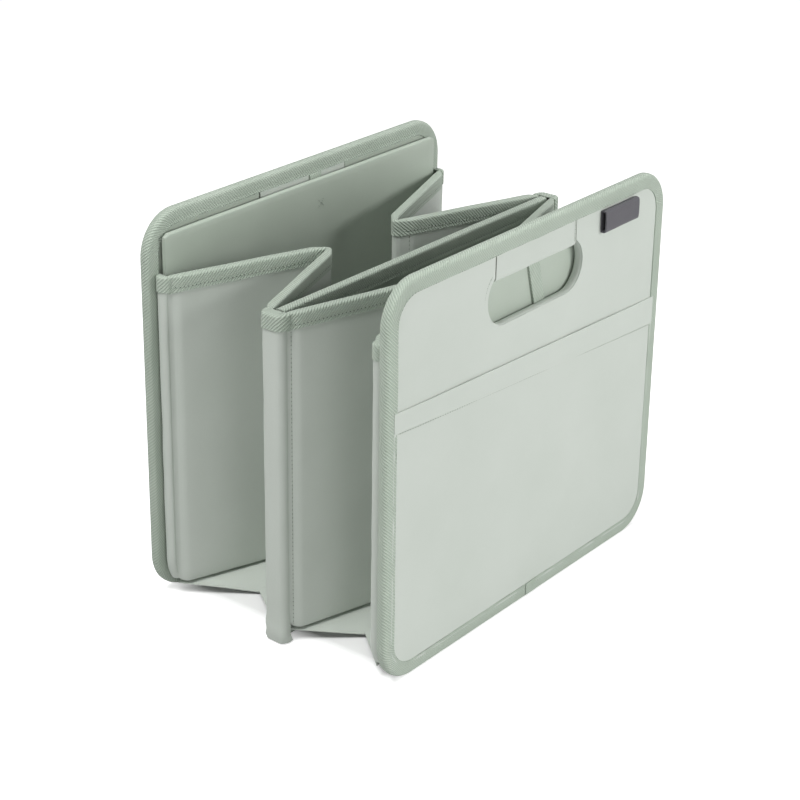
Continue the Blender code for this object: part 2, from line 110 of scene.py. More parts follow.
# %% Camera
CAMERA_PLACE = Vector((-1.0824, -0.8186, 0.724))
CAMERA_AZIMUTH = math.radians(-52.55)
CAMERA_ELEVATION = math.radians(23.85)
CAMERA_ROLL = math.radians(-0.85)
CAMERA_LENS = 94.2

back = Vector((
    math.sin(CAMERA_AZIMUTH) * math.cos(CAMERA_ELEVATION),
    -math.cos(CAMERA_AZIMUTH) * math.cos(CAMERA_ELEVATION),
    math.sin(CAMERA_ELEVATION),
))
level = Vector((math.cos(CAMERA_AZIMUTH), math.sin(CAMERA_AZIMUTH), 0))
upward = back.cross(level)
right = level * math.cos(CAMERA_ROLL) - upward * math.sin(CAMERA_ROLL)
upright = level * math.sin(CAMERA_ROLL) + upward * math.cos(CAMERA_ROLL)
camera_data = bpy.data.cameras.new("camera")
camera_data.lens = CAMERA_LENS
camera_data.sensor_width = 36
camera = bpy.data.objects.new("camera", camera_data)
bpy.context.scene.collection.objects.link(camera)
turned = Matrix((right, upright, back)).transposed().to_4x4()
camera.matrix_world = Matrix.Translation(CAMERA_PLACE) @ turned
bpy.context.scene.camera = camera
print("camera stands at", tuple(CAMERA_PLACE))

# %% [markdown]
# A material is a chain of nodes. One small function adds a node with its settings and its links, and
# another turns the usual hex colours into the linear values that Blender works in. A node that is
# given as an input stands for its first output.

# %% Helpers for materials
MATH = "ShaderNodeMath"


def linear(hex_colour):
    channels = [int(hex_colour[i:i + 2], 16) / 255 for i in (0, 2, 4)]
    return [c / 12.92 if c <= 0.04045 else ((c + 0.055) / 1.055) ** 2.4 for c in channels] + [1.0]


def add_node(tree, kind, inputs=None, **settings):
    node = tree.nodes.new(kind)
    for name, value in settings.items():
        setattr(node, name, value)
    for socket, value in (inputs or {}).items():
        if isinstance(value, bpy.types.Node):
            value = value.outputs[0]
        if isinstance(value, bpy.types.NodeSocket):
            tree.links.new(value, node.inputs[socket])
        else:
            node.inputs[socket].default_value = value
    return node


def new_material(name, roughness, sheen=0.0):
    material = bpy.data.materials.new(name)
    material.use_nodes = True
    shader = material.node_tree.nodes["Principled BSDF"]
    shader.inputs["Roughness"].default_value = roughness
    shader.inputs["Sheen Weight"].default_value = sheen
    shader.inputs["Sheen Roughness"].default_value = 0.5
    shader.inputs["Specular IOR Level"].default_value = 0.3
    return material, material.node_tree, shader


# %% [markdown]
# Cloth and tape carry a UV map in metres, measured on the flat cut, so a weave follows every bend. A
# wave along a direction is a sine of that distance, and the product of two crossed waves is the
# over-and-under bump of a plain weave.

# %% Waves in the weave
def flat_places(tree):
    uv = add_node(tree, "ShaderNodeUVMap", uv_map="UVMap")
    split = add_node(tree, "ShaderNodeSeparateXYZ", {"Vector": uv.outputs["UV"]})
    return split.outputs["X"], split.outputs["Y"]


def wave(tree, along, across, angle, spacing):
    """Sine of the distance in one direction of the flat cloth, from -1 to 1."""
    turn = 2 * math.pi / spacing
    part_a = add_node(tree, MATH, {0: along, 1: turn * math.cos(angle)}, operation="MULTIPLY")
    part_b = add_node(tree, MATH, {0: across, 1: turn * math.sin(angle)}, operation="MULTIPLY")
    both = add_node(tree, MATH, {0: part_a, 1: part_b}, operation="ADD")
    return add_node(tree, MATH, {0: both}, operation="SINE")


def colour_and_relief(tree, shader, share, hexes, height=None, strength=0.0, distance=0.0):
    """Colours a material between two shades. A height makes threads and ribs catch the light."""
    shades = {0: share, 6: linear(hexes[0]), 7: linear(hexes[1])}
    mix = add_node(tree, "ShaderNodeMix", shades, data_type="RGBA")
    tree.links.new(mix.outputs[2], shader.inputs["Base Color"])
    if height is not None:
        relief = {"Strength": strength, "Distance": distance, "Height": height}
        bump = add_node(tree, "ShaderNodeBump", relief)
        tree.links.new(bump.outputs["Normal"], shader.inputs["Normal"])


def cloudy(tree, size, detail=3.0):
    """Slow change over the object, from 0 to 1, with patches of about that size in metres."""
    place = add_node(tree, "ShaderNodeTexCoord").outputs["Object"]
    cloud = add_node(tree, "ShaderNodeTexNoise", {"Vector": place, "Scale": 1 / size, "Detail": detail})
    return cloud.outputs["Fac"]


# %% [markdown]
# The cover is coated polyester in plain weave: fine threads with almost no gloss and a slight chalky
# bloom at grazing angles. Real threads lie 0.4 mm apart, which is less than a pixel here, so they are
# drawn at 0.9 mm with little depth. Colour drifts by a shade or two over the width of a hand.

# %% Woven polyester
THREAD_SPACING = 0.9 * MM


def woven_polyester(name, light_hex, dark_hex, roughness, depth):
    material, tree, shader = new_material(name, roughness, sheen=0.15)
    along, across = flat_places(tree)
    warp = wave(tree, along, across, math.radians(0), THREAD_SPACING)
    weft = wave(tree, along, across, math.radians(90), THREAD_SPACING)
    weave = add_node(tree, MATH, {0: warp, 1: weft}, operation="MULTIPLY")
    drift = cloudy(tree, 60 * MM)
    speck = cloudy(tree, 0.8 * MM, 2.0)
    share = add_node(tree, MATH, {0: speck, 1: 0.3, 2: -0.05}, operation="MULTIPLY_ADD")
    share = add_node(tree, MATH, {0: drift, 1: 0.7, 2: share}, operation="MULTIPLY_ADD")
    share = add_node(tree, MATH, {0: weave, 1: 0.1, 2: share}, operation="MULTIPLY_ADD", use_clamp=True)
    height = add_node(tree, MATH, {0: speck, 1: 1.5, 2: weave}, operation="MULTIPLY_ADD")
    colour_and_relief(tree, shader, share, (light_hex, dark_hex), height, depth, 0.05 * MM)
    return material


cover_cloth = woven_polyester("woven_polyester_cover", "CBD1CA", "BDC5BC", 0.72, 0.60)
lining_cloth = woven_polyester("woven_polyester_lining", "B3BDB1", "A4AFA2", 0.52, 0.30)
print("cloths:", cover_cloth.name, lining_cloth.name)

# %% [markdown]
# Binding tape is a polyester twill: ribs run across it on the slant, 1.7 mm apart, each rib crossed by
# finer threads. The ribs catch the light on one side, which makes the tape look striped. Its colour is
# also lighter on the crests and darker in the hollows, which is painted highlight and painted shade,
# and a slow drift gives the tape its own uneven tone.

# %% Twill tape
RIB_SPACING = 1.7 * MM
RIB_SLANT = math.radians(-42)


def twill_tape(name, light_hex, dark_hex):
    material, tree, shader = new_material(name, 0.8, sheen=0.2)
    along, across = flat_places(tree)
    rib = wave(tree, along, across, RIB_SLANT, RIB_SPACING)
    thread = wave(tree, along, across, RIB_SLANT + math.pi / 2, 0.9 * MM)
    height = add_node(tree, MATH, {0: thread, 1: 0.22, 2: rib}, operation="MULTIPLY_ADD")
    drift = cloudy(tree, 30 * MM)
    share = add_node(tree, MATH, {0: drift, 1: 0.3, 2: 0.35}, operation="MULTIPLY_ADD")
    # Painted highlight and painted shade: the higher the rib, the lighter the colour.
    share = add_node(tree, MATH, {0: height, 1: -0.2, 2: share}, operation="MULTIPLY_ADD", use_clamp=True)
    colour_and_relief(tree, shader, share, (light_hex, dark_hex), height, 1.0, 0.20 * MM)
    return material


binding_tape = twill_tape("polyester_twill_tape", "C9D3C7", "93A392")

# %% [markdown]
# Thread, ribbon and board need less. Thread is a shade darker than the tape and slightly glossy, and it
# turns dark on the small solids in the needle holes, which is painted shade. A second, darker copy of
# the thread is painted shade for the stitch line round the binding. The tag is a dense grey ribbon with
# fine cross ribs, and the board inside the covers is grey card.

# %% Thread, ribbon and board
def sewing_thread(name, light_hex, dark_hex):
    material, tree, shader = new_material(name, 0.55)
    # Points of the needle-hole solids take the dark shade fully: painted shade in the needle holes. The
    # cloudy tint is the thread's own uneven tone.
    hole_shade = add_node(tree, "ShaderNodeAttribute", attribute_name="needle_hole")
    tint = add_node(tree, MATH, {0: cloudy(tree, 3 * MM), 1: 0.4}, operation="MULTIPLY")
    share = add_node(tree, MATH, {0: tint, 1: hole_shade.outputs["Fac"]}, operation="MAXIMUM")
    colour_and_relief(tree, shader, share, (light_hex, dark_hex))
    return material


def grey_ribbon(name):
    material, tree, shader = new_material(name, 0.6, sheen=0.1)
    along, across = flat_places(tree)
    rib = wave(tree, along, across, 0.0, 0.9 * MM)
    weave = wave(tree, along, across, math.pi / 2, 1.1 * MM)
    height = add_node(tree, MATH, {0: weave, 1: 0.4, 2: rib}, operation="MULTIPLY_ADD")
    share = add_node(tree, MATH, {0: height, 1: 0.25, 2: 0.5}, operation="MULTIPLY_ADD", use_clamp=True)
    colour_and_relief(tree, shader, share, ("49484D", "57565B"), height, 0.5, 0.1 * MM)
    return material


def grey_card(name):
    material, tree, shader = new_material(name, 0.9)
    fibre = cloudy(tree, 2 * MM, 5.0)
    colour_and_relief(tree, shader, fibre, ("8E8A80", "7C786E"))
    return material


thread = sewing_thread("polyester_sewing_thread", "C2CBC0", "5C675B")
# Painted shade: a darker copy of the thread, so the stitch line round the binding reads as a shadowed
# groove.
seam_shade_thread = sewing_thread("polyester_sewing_thread_shaded", "6A766A", "4A544A")
ribbon = grey_ribbon("woven_grey_ribbon")
card = grey_card("grey_card_board")
print("other finishes:", thread.name, ribbon.name, card.name)

# %% [markdown]
# A sewer cuts a flat piece, then lays it in place. The next helpers do the same. A grid is cut with a
# line of points at each listed place along and across, its UV map holds the flat measures in metres,
# and laying it moves every point by a rule. Then the cloth gets its thickness.

# %% Cutting and laying cloth
def only(piece):
    bpy.ops.object.select_all(action="DESELECT")
    piece.select_set(True)
    bpy.context.view_layer.objects.active = piece


def steps(start, stop, spacing):
    """Even places from start to stop, about that far apart."""
    return list(np.linspace(start, stop, max(2, round(abs(stop - start) / spacing) + 1)))


def cut_flat(name, along, across):
    columns, rows = len(along) - 1, len(across) - 1
    bpy.ops.mesh.primitive_grid_add(x_subdivisions=columns, y_subdivisions=rows, size=1, calc_uvs=True)
    piece = bpy.context.object
    piece.name = name
    piece.data.name = name
    mesh = piece.data
    count = len(mesh.vertices)
    places = np.zeros(count * 3)
    mesh.vertices.foreach_get("co", places)
    places = places.reshape(-1, 3)
    i = np.rint((places[:, 0] + 0.5) * columns).astype(int)
    j = np.rint((places[:, 1] + 0.5) * rows).astype(int)
    flat = np.stack([np.array(along)[i], np.array(across)[j], np.zeros(count)], axis=1)
    mesh.vertices.foreach_set("co", flat.ravel())
    corner_points = np.zeros(len(mesh.loops), int)
    mesh.loops.foreach_get("vertex_index", corner_points)
    mesh.uv_layers[0].name = "UVMap"
    mesh.uv_layers[0].data.foreach_set("uv", flat[corner_points, :2].ravel())
    return piece


def lay(piece, place):
    """Carries each point of the flat cloth to place(along, across)."""
    for vertex in piece.data.vertices:
        vertex.co = place(vertex.co.x, vertex.co.y)
    piece.data.update()
    return piece


# %% [markdown]
# Cloth has two sides, so a laid piece is thickened to both sides of its middle. Where a piece was laid
# round until its edges met, the doubled points are merged first. Normals are then made to face out.

# %% Finishing a piece
def in_edit_mode(piece, work):
    only(piece)
    bpy.ops.object.mode_set(mode="EDIT")
    bpy.ops.mesh.select_all(action="SELECT")
    work()
    bpy.ops.object.mode_set(mode="OBJECT")


def merge_seam(piece, reach=0.02 * MM):
    in_edit_mode(piece, lambda: bpy.ops.mesh.remove_doubles(threshold=reach))


def face_outwards(piece):
    in_edit_mode(piece, lambda: bpy.ops.mesh.normals_make_consistent(inside=False))


def apply_all(piece):
    only(piece)
    for modifier in list(piece.modifiers):
        bpy.ops.object.modifier_apply(modifier=modifier.name)


def thicken(piece, thickness):
    wall = piece.modifiers.new("thickness", "SOLIDIFY")
    wall.thickness = thickness
    wall.offset = 0
    wall.use_even_offset = False
    apply_all(piece)
    face_outwards(piece)


def close_ends(piece):
    """Closes the open ends of a cloth tube with a face each."""
    only(piece)
    bpy.ops.object.mode_set(mode="EDIT")
    bpy.ops.mesh.select_all(action="DESELECT")
    bpy.ops.mesh.select_mode(type="VERT")
    bpy.ops.mesh.select_non_manifold()
    bpy.ops.mesh.fill_holes(sides=0)
    bpy.ops.object.mode_set(mode="OBJECT")
    face_outwards(piece)


def finish_piece(piece, material, bodies, replaced=(), smooth=50):
    piece.data.materials.clear()
    piece.data.materials.append(material)
    only(piece)
    bpy.ops.object.shade_smooth_by_angle(angle=math.radians(smooth))
    if isinstance(bodies, str):
        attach(piece, bodies)
    if replaced:
        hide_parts(*replaced)
    return piece


def store_shares(piece, shares):
    """Notes on flat cloth how much each of its points follows the second of two bodies."""
    attribute = piece.data.attributes.new("panel_share", "FLOAT", "POINT")
    attribute.data.foreach_set("value", np.array(shares, np.float32))


def use_shares(piece):
    """Reads the shares that were stored while the cloth was flat, then removes them from the mesh."""
    stored = np.zeros(len(piece.data.vertices), np.float32)
    piece.data.attributes["panel_share"].data.foreach_get("value", stored)
    piece.data.attributes.remove(piece.data.attributes["panel_share"])


# %% [markdown]
# Cloth is never quite flat. A slow noise lifts it by a few tenths of a millimetre. The hairpin is the
# section of every tape here: flat on top, round at both corners, then straight down both sides.

# %% Rules that many pieces share
def ripple(a, b, size, seed):
    """Smooth rise and fall from -1 to 1, with hills of about that size in metres."""
    return noise.noise(Vector((a / size, b / size, seed * 7.31)))


def ease(x):
    x = min(max(x, 0.0), 1.0)
    return x * x * (3 - 2 * x)


def groove(distance, width):
    return math.exp(-(distance / width) ** 2)


def hairpin(across, half_width, radius):
    """Sideways offset and drop of a point on a tape laid over an edge."""
    side = 1 if across >= 0 else -1
    reach = abs(across)
    flat = half_width - radius
    if reach <= flat:
        return side * reach, 0.0
    turned = (reach - flat) / radius
    if turned <= math.pi / 2:
        return side * (flat + radius * math.sin(turned)), radius * (1 - math.cos(turned))
    return side * half_width, radius + reach - flat - radius * math.pi / 2


def hairpin_stop(half_width, radius, drop):
    """Flat distance from the middle of a tape to its edge, when its sides hang down that far."""
    return half_width - radius + radius * math.pi / 2 + drop - radius


def nearest(places, value):
    """Number of the listed place closest to a value."""
    return int(np.argmin(np.abs(np.asarray(places) - value)))


def tape_lines(half_width, radius, stop):
    """Places across a tape, close together where it turns."""
    flat = half_width - radius
    turn_end = flat + radius * math.pi / 2
    inner = steps(0, flat, 1.5 * MM)[1:] if flat > 0.4 * MM else [flat]
    half = inner + steps(flat, turn_end, radius * math.pi / 8)[1:] + steps(turn_end, stop, 1.3 * MM)[1:]
    return [-a for a in reversed(half)] + [0.0] + half


# %% [markdown]
# One stitch is a flattened bead, a sphere with few faces. A seam copies it along a line, a little sunk
# into the cloth, with a short gap where the needle went in. In each gap lies a small solid that the
# thread material colours dark: painted shade in the needle hole. Every seam is one piece with its own mesh.

# %% Stitches
STITCH_LENGTH = 2.3 * MM
STITCH_PITCH = 3.0 * MM


def stitch_template():
    bpy.ops.mesh.primitive_uv_sphere_add(segments=6, ring_count=4, radius=0.5)
    bead = bpy.context.object
    points = np.array([vertex.co for vertex in bead.data.vertices])
    faces = [list(face.vertices) for face in bead.data.polygons]
    bpy.data.objects.remove(bead)
    return points[:, [2, 0, 1]], faces


BEAD_POINTS, BEAD_FACES = stitch_template()
HOLE_SHADE_POINTS = np.array([(1, 0, 0), (-1, 0, 0), (0, 1, 0), (0, -1, 0), (0, 0, 1), (0, 0, -1)]) * 0.5
HOLE_SHADE_FACES = [[a, b, c] if (a + b // 2 + c // 4) % 2 else [a, c, b]
              for a in (0, 1) for b in (2, 3) for c in (4, 5)]


def sew(name, line, body, material=None, pitch=STITCH_PITCH, length=STITCH_LENGTH, thick=0.45 * MM):
    """A row of stitches along a line of (place, outward direction) pairs."""
    places = np.array([p for p, _ in line])
    outward = np.array([n for _, n in line])
    run = np.concatenate([[0], np.cumsum(np.linalg.norm(np.diff(places, axis=0), axis=1))])
    points, faces, hole_shade_flags, stitches = [], [], [], 0
    for k in range(int((run[-1] - length) / pitch) + 1):
        ends = [k * pitch, k * pitch + length]
        a, b = (np.array([np.interp(e, run, places[:, c]) for c in range(3)]) for e in ends)
        out = np.array([np.interp(sum(ends) / 2, run, outward[:, c]) for c in range(3)])
        forward = (b - a) / max(np.linalg.norm(b - a), 1e-9)
        out = out - forward * (out @ forward)
        out /= np.linalg.norm(out)
        frame_here = np.array([forward, np.cross(out, forward), out])
        gap = pitch - length
        bead = BEAD_POINTS * np.array([length, thick * 1.25, thick]) @ frame_here + (a + b) / 2
        # A small solid in the gap after each stitch, coloured dark by the thread material: painted shade in
        # the needle hole.
        hole_shade = HOLE_SHADE_POINTS * np.array([gap + 0.7 * MM, thick * 1.7, thick * 0.8]) @ frame_here
        hole_shade += b + forward * gap / 2
        for shape, pattern, is_hole_shade in ((bead, BEAD_FACES, 0.0), (hole_shade, HOLE_SHADE_FACES, 1.0)):
            first = len(hole_shade_flags)
            faces += [[first + f for f in face] for face in pattern]
            points.append(shape)
            hole_shade_flags += [is_hole_shade] * len(shape)
        stitches += 1
    mesh = bpy.data.meshes.new(name)
    mesh.from_pydata(np.concatenate(points).tolist(), [], faces)
    mesh.attributes.new("needle_hole", "FLOAT", "POINT").data.foreach_set("value", hole_shade_flags)
    piece = bpy.data.objects.new(name, mesh)
    bpy.context.scene.collection.objects.link(piece)
    finish_piece(piece, material or thread, body, smooth=80)
    return stitches


# %% [markdown]
# The two ends are alike, so their pieces are laid by one rule: x across, depth inwards from the outer
# face, z up. The outline is a rectangle with round lower and upper corners, walked from the middle of the
# bottom edge, where the binding tape starts and ends.

# %% The frame of an end
def end_point(end, x, depth, z):
    y = FRONT_Y + depth if end == "front" else REAR_Y - depth
    return Vector((x, y, z))


def end_normal(end, outwards=True):
    """Direction out of an end's outer face, or out of its inner face."""
    sign = -1 if (end == "front") == outwards else 1
    return Vector((0, sign, 0))


def outline_length(half, height, radius):
    return 4 * half + 2 * height - 8 * radius + 2 * math.pi * radius


def walk_outline(distance, half, bottom, top, radius):
    """(x, z) and the direction to the outside, after that distance from the middle of the bottom."""
    width, height = half - radius, top - bottom - 2 * radius
    quarter = math.pi * radius / 2
    x, z, heading = 0.0, bottom, 0.0
    corners = [(width, 0), (height, 1), (2 * width, 2), (height, 3), (width, 4)]
    for straight, turn in corners:
        if distance <= straight or turn == 4:
            x += math.cos(heading) * distance
            z += math.sin(heading) * distance
            return Vector((x, z)), Vector((math.sin(heading), -math.cos(heading)))
        x += math.cos(heading) * straight
        z += math.sin(heading) * straight
        distance -= straight
        centre = Vector((x - math.sin(heading) * radius, z + math.cos(heading) * radius))
        bent = min(distance / radius, math.pi / 2)
        out = Vector((math.sin(heading + bent), -math.cos(heading + bent)))
        if distance <= quarter:
            return centre + out * radius, out
        distance -= quarter
        x, z = centre + out * radius
        heading += math.pi / 2
    return Vector((x, z)), Vector((0, -1))


PERIMETER = outline_length(WIDTH / 2, END_HEIGHT, CORNER_RADIUS)
print("outline of an end is", round(PERIMETER, 4), "m long")

# %% [markdown]
# The binding is a 28 mm tape folded over the raw edge of each end and stitched through. Its edge
# wanders a little, it sinks along the stitch line, and its two ends overlap under the bottom edge.

# %% Edge binding
HALF_EDGE = END_DEPTH / 2 - TAPE / 2
EDGE_ROUNDING = 2.4 * MM
EDGE_STITCH = 8.2 * MM
OVERLAP = 14 * MM
TAPE_STOP = hairpin_stop(HALF_EDGE, EDGE_ROUNDING, TAPE_WIDTH)


def lay_edge_binding(end):
    name = f"{end}_binding_tape"
    along = steps(0, PERIMETER + OVERLAP, 2.4 * MM)
    piece = cut_flat(name, along, tape_lines(HALF_EDGE, EDGE_ROUNDING, TAPE_STOP))
    seed = 1 if end == "front" else 2

    def place(u, v):
        point, out = walk_outline(u % PERIMETER, WIDTH / 2 - TAPE / 2, TAPE / 2, END_HEIGHT - TAPE / 2,
                                  CORNER_RADIUS - TAPE / 2)
        wander = 1 + 0.035 * ripple(u, v > 0, 22 * MM, seed) * abs(v) / TAPE_STOP
        offset, drop = hairpin(v * wander, HALF_EDGE, EDGE_ROUNDING)
        sunk = 0.28 * MM * groove(drop - EDGE_STITCH, 0.9 * MM)
        swell = 0.12 * MM * ripple(u, drop * 3, 9 * MM, seed + 0.3) * min(1, drop / (3 * MM))
        lift = 0.75 * MM * ease((u - PERIMETER) / (2 * MM))
        side = 1 if offset > 0 else -1
        offset += side * (swell - sunk + lift * min(1, drop / EDGE_ROUNDING))
        x, z = point - out * drop
        return end_point(end, x, END_DEPTH / 2 - offset, z)

    lay(piece, place)
    thicken(piece, TAPE)
    finish_piece(piece, binding_tape, f"{end}_end", [f"{end}_edge_binding"])
    return piece


for end in ("front", "rear"):
    tape = lay_edge_binding(end)
    print(tape.name, len(tape.data.polygons), "faces")

# %% [markdown]
# The seam through the binding is seen on both faces of each end. Its line follows the same outline,
# a little inside it, and is sewn in the darker thread, which is painted shade for the shadowed stitch line.

# %% Stitching on the binding
def outline_seam(end, inset, depth, outwards):
    line = []
    half, radius = WIDTH / 2 - inset, CORNER_RADIUS - inset
    length = outline_length(half, END_HEIGHT - 2 * inset, radius)
    for u in steps(0.5 * MM, length - 0.5 * MM, 2 * MM):
        point, _ = walk_outline(u, half, inset, END_HEIGHT - inset, radius)
        line.append((end_point(end, point.x, depth, point.y), end_normal(end, outwards)))
    return line


BORDER_DEPTH = 0.15 * MM
for end in ("front", "rear"):
    counts = []
    for outwards, label in ((True, "outer"), (False, "inner")):
        depth = BORDER_DEPTH if outwards else END_DEPTH - BORDER_DEPTH
        seam = outline_seam(end, TAPE_WIDTH + 0.1 * MM, depth, outwards)
        name = f"{end}_binding_stitches_{label}"
        counts.append(sew(name, seam, f"{end}_end", seam_shade_thread, thick=0.36 * MM))
    print(end, "binding:", counts, "stitches")

# %% [markdown]
# The face of an end is one cloth with a carrying hole. It is laid row by row, each row as wide as the
# rounded outline there, and lifted by a slow ripple. The hole is then cut with two solids: a stadium
# shape, which is a box with round corners, and a slot above it that the grip fills.

# %% Face cloths with a hole
OUTER_FACE_DEPTH = 1.0 * MM
INNER_FACE_DEPTH = 6.3 * MM
HOLE_HALF = 0.055
HOLE_RADIUS = 0.0195
HOLE_LOW, HOLE_HIGH = 0.219, 0.258
GRIP_HALF = 0.046
GRIP_LOW = 0.251
SLIT = 0.8 * MM
WIDE_SLIT = 1.5 * MM
FACE_INSET = 2.5 * MM


def half_at(z, inset):
    """Half width of an end's outline at a height, drawn in by an inset."""
    radius = CORNER_RADIUS - inset
    rise = max(inset + radius - z, z - (END_HEIGHT - inset - radius), 0.0)
    return WIDTH / 2 - inset - radius + math.sqrt(max(radius**2 - rise**2, 0.0))


def box_cutter(low, high, rounding=0.0):
    middle = (Vector(low) + Vector(high)) / 2
    bpy.ops.mesh.primitive_cube_add(size=1, location=middle)
    cutter = bpy.context.object
    cutter.scale = Vector(high) - Vector(low)
    bpy.ops.object.transform_apply(location=True, rotation=True, scale=True)
    if rounding:
        bpy.ops.object.mode_set(mode="EDIT")
        bpy.ops.mesh.select_mode(type="EDGE")
        bpy.ops.mesh.select_all(action="DESELECT")
        bpy.ops.object.mode_set(mode="OBJECT")
        for edge in cutter.data.edges:
            a, b = (cutter.data.vertices[i].co for i in edge.vertices)
            edge.select = abs(a.y - b.y) > abs(high[1] - low[1]) * 0.9
        bpy.ops.object.mode_set(mode="EDIT")
        bpy.ops.mesh.bevel(offset=rounding, segments=12, affect="EDGES")
        bpy.ops.object.mode_set(mode="OBJECT")
    return cutter


def cut_out(piece, cutter):
    cut = piece.modifiers.new("cut", "BOOLEAN")
    cut.object = cutter
    cut.operation = "DIFFERENCE"
    cut.solver = "EXACT"
    apply_all(piece)
    bpy.data.objects.remove(cutter)


def cut_handle_hole(piece, end):
    near = end_point(end, 0, -3 * MM, 0).y
    far = end_point(end, 0, 12 * MM, 0).y
    y0, y1 = sorted((near, far))
    stadium = box_cutter((-HOLE_HALF, y0, HOLE_LOW), (HOLE_HALF, y1, HOLE_HIGH), HOLE_RADIUS * 0.999)
    cut_out(piece, stadium)
    left, right = -GRIP_HALF - WIDE_SLIT, GRIP_HALF + 0.25 * MM
    slot = box_cutter((left, y0, HOLE_LOW + HOLE_RADIUS), (right, y1, END_HEIGHT - TAPE_WIDTH))
    cut_out(piece, slot)


def lay_face(end, name, depth, outwards, material, replaced, swell):
    rows = steps(FACE_INSET, END_HEIGHT - FACE_INSET, 3.5 * MM)
    piece = cut_flat(name, steps(-WIDTH / 2, WIDTH / 2, 3.5 * MM), rows)
    seed = len(name)

    def place(u, v):
        x = u / (WIDTH / 2) * half_at(v, FACE_INSET)
        margin = min(WIDTH / 2 - abs(x), v, END_HEIGHT - v)
        away = ease((margin - TAPE_WIDTH) / (25 * MM))
        lift = swell * away * (0.5 + ripple(x, v, 70 * MM, seed) + 0.4 * ripple(x, v, 28 * MM, seed + 1))
        return end_point(end, x, depth - lift if outwards else depth + lift, v)

    lay(piece, place)
    thicken(piece, CLOTH)
    cut_handle_hole(piece, end)
    finish_piece(piece, material, f"{end}_end", [replaced], smooth=35)
    return piece


for end in ("front", "rear"):
    outer = lay_face(end, f"{end}_face_cloth", OUTER_FACE_DEPTH, True, cover_cloth,
                     f"{end}_outer_cloth", 0.45 * MM)
    inner = lay_face(end, f"{end}_inside_cloth", INNER_FACE_DEPTH, False, lining_cloth,
                     f"{end}_inner_cloth", 0.3 * MM)
    print(outer.name, inner.name, len(outer.data.polygons), "faces each")

# %% [markdown]
# Round the hole the cloth is turned through to the other side and stitched, so the edge is soft and
# nearly twice as thick. That turned edge is its own strip here: a hairpin laid along the cut from one
# slit, down round the stadium, and up to the other slit.

# %% Turned edge of the carrying hole
TURN_WIDTH = 3.6 * MM
TURN_ROUNDING = 1.6 * MM


def hole_line(inset, spacing):
    """Points round the hole from the left slit to the right one, with directions into the hole."""
    radius = HOLE_RADIUS + inset
    centre_x, centre_z = HOLE_HALF - HOLE_RADIUS, HOLE_LOW + HOLE_RADIUS
    lean = math.acos(min(1.0, (GRIP_HALF + SLIT + inset - centre_x) / radius))
    arc_steps = max(4, round(radius * (lean + math.pi / 2) / spacing))
    right_arc = [-math.pi / 2 + (lean + math.pi / 2) * k / arc_steps for k in range(arc_steps + 1)]
    right_side = [(centre_x + radius * math.cos(a), centre_z + radius * math.sin(a), a) for a in right_arc]
    left_side = [(-x, z, math.pi - a) for x, z, a in reversed(right_side)]
    bottom = [(x, HOLE_LOW - inset, -math.pi / 2) for x in steps(-centre_x, centre_x, spacing)[1:-1]]
    return left_side + bottom + right_side


def lay_turned_edge(end):
    half = (BACK - FACE) / 2 + 0.35 * MM
    stop = half - TURN_ROUNDING + TURN_ROUNDING * math.pi / 2 + TURN_WIDTH
    route = hole_line(0, 1.6 * MM)
    run = np.concatenate([[0], np.cumsum([
        math.dist(a[:2], b[:2]) for a, b in zip(route, route[1:])
    ])])
    piece = cut_flat(f"{end}_handle_edge", list(run), tape_lines(half, TURN_ROUNDING, stop))

    def place(u, v):
        x, z, angle = route[nearest(run, u)]
        offset, drop = hairpin(v, half, TURN_ROUNDING)
        offset -= 0.25 * MM * (1 if offset > 0 else -1) * ease((drop - TURN_WIDTH) / (1.5 * MM))
        offset += 0.1 * MM * ripple(u, v, 6 * MM, 3)
        inset = drop - 0.3 * MM
        middle = (FACE + BACK) / 2
        return end_point(end, x + math.cos(angle) * inset, middle - offset, z + math.sin(angle) * inset)

    lay(piece, place)
    thicken(piece, 0.5 * MM)
    finish_piece(piece, cover_cloth, f"{end}_end")
    seam = [
        (end_point(end, x, FACE - 0.55 * MM, z), end_normal(end)) for x, z, _ in hole_line(3.4 * MM, 2 * MM)
    ]
    return sew(f"{end}_handle_stitches", seam, f"{end}_end")


for end in ("front", "rear"):
    print(end, "handle edge:", lay_turned_edge(end), "stitches")

# %% [markdown]
# The grip is cloth wrapped round the bar above the hole. It is laid as an upturned hairpin: its fold is
# the grip's lower edge, and both legs run up under the binding. It is slightly fuller than the board.

# %% Grip
GRIP_TOP = END_HEIGHT - TAPE_WIDTH + 2 * MM


def lay_grip(end):
    half = (BACK - FACE) / 2 - 0.05 * MM
    rounding = 2.0 * MM
    stop = hairpin_stop(half, rounding, GRIP_TOP - GRIP_LOW)
    along = steps(-GRIP_HALF, GRIP_HALF, 2.5 * MM)
    piece = cut_flat(f"{end}_grip_cloth", along, tape_lines(half, rounding, stop))

    def place(u, v):
        offset, rise = hairpin(v, half, rounding)
        full = 0.5 * MM * ease((GRIP_HALF - abs(u)) / (6 * MM))
        full += 0.25 * MM * ripple(u, v, 14 * MM, 5)
        side = 1 if offset > 0 else -1
        middle = (FACE + BACK) / 2
        low = GRIP_LOW + 0.5 * MM * ripple(u, 0, 30 * MM, 6)
        return end_point(end, u, middle - offset - side * full * 0.6, low + rise)

    lay(piece, place)
    thicken(piece, CLOTH)
    finish_piece(piece, cover_cloth, f"{end}_end", [f"{end}_grip_wrap"])
    seam_x = GRIP_HALF - 1.6 * MM
    heights = steps(GRIP_LOW + 3 * MM, GRIP_TOP - 3 * MM, 2 * MM)
    seam = [(end_point(end, seam_x, 0.35 * MM, z), end_normal(end)) for z in heights]
    return sew(f"{end}_grip_stitches", seam, f"{end}_end", thick=0.3 * MM)


for end in ("front", "rear"):
    print(end, "grip:", lay_grip(end), "stitches")

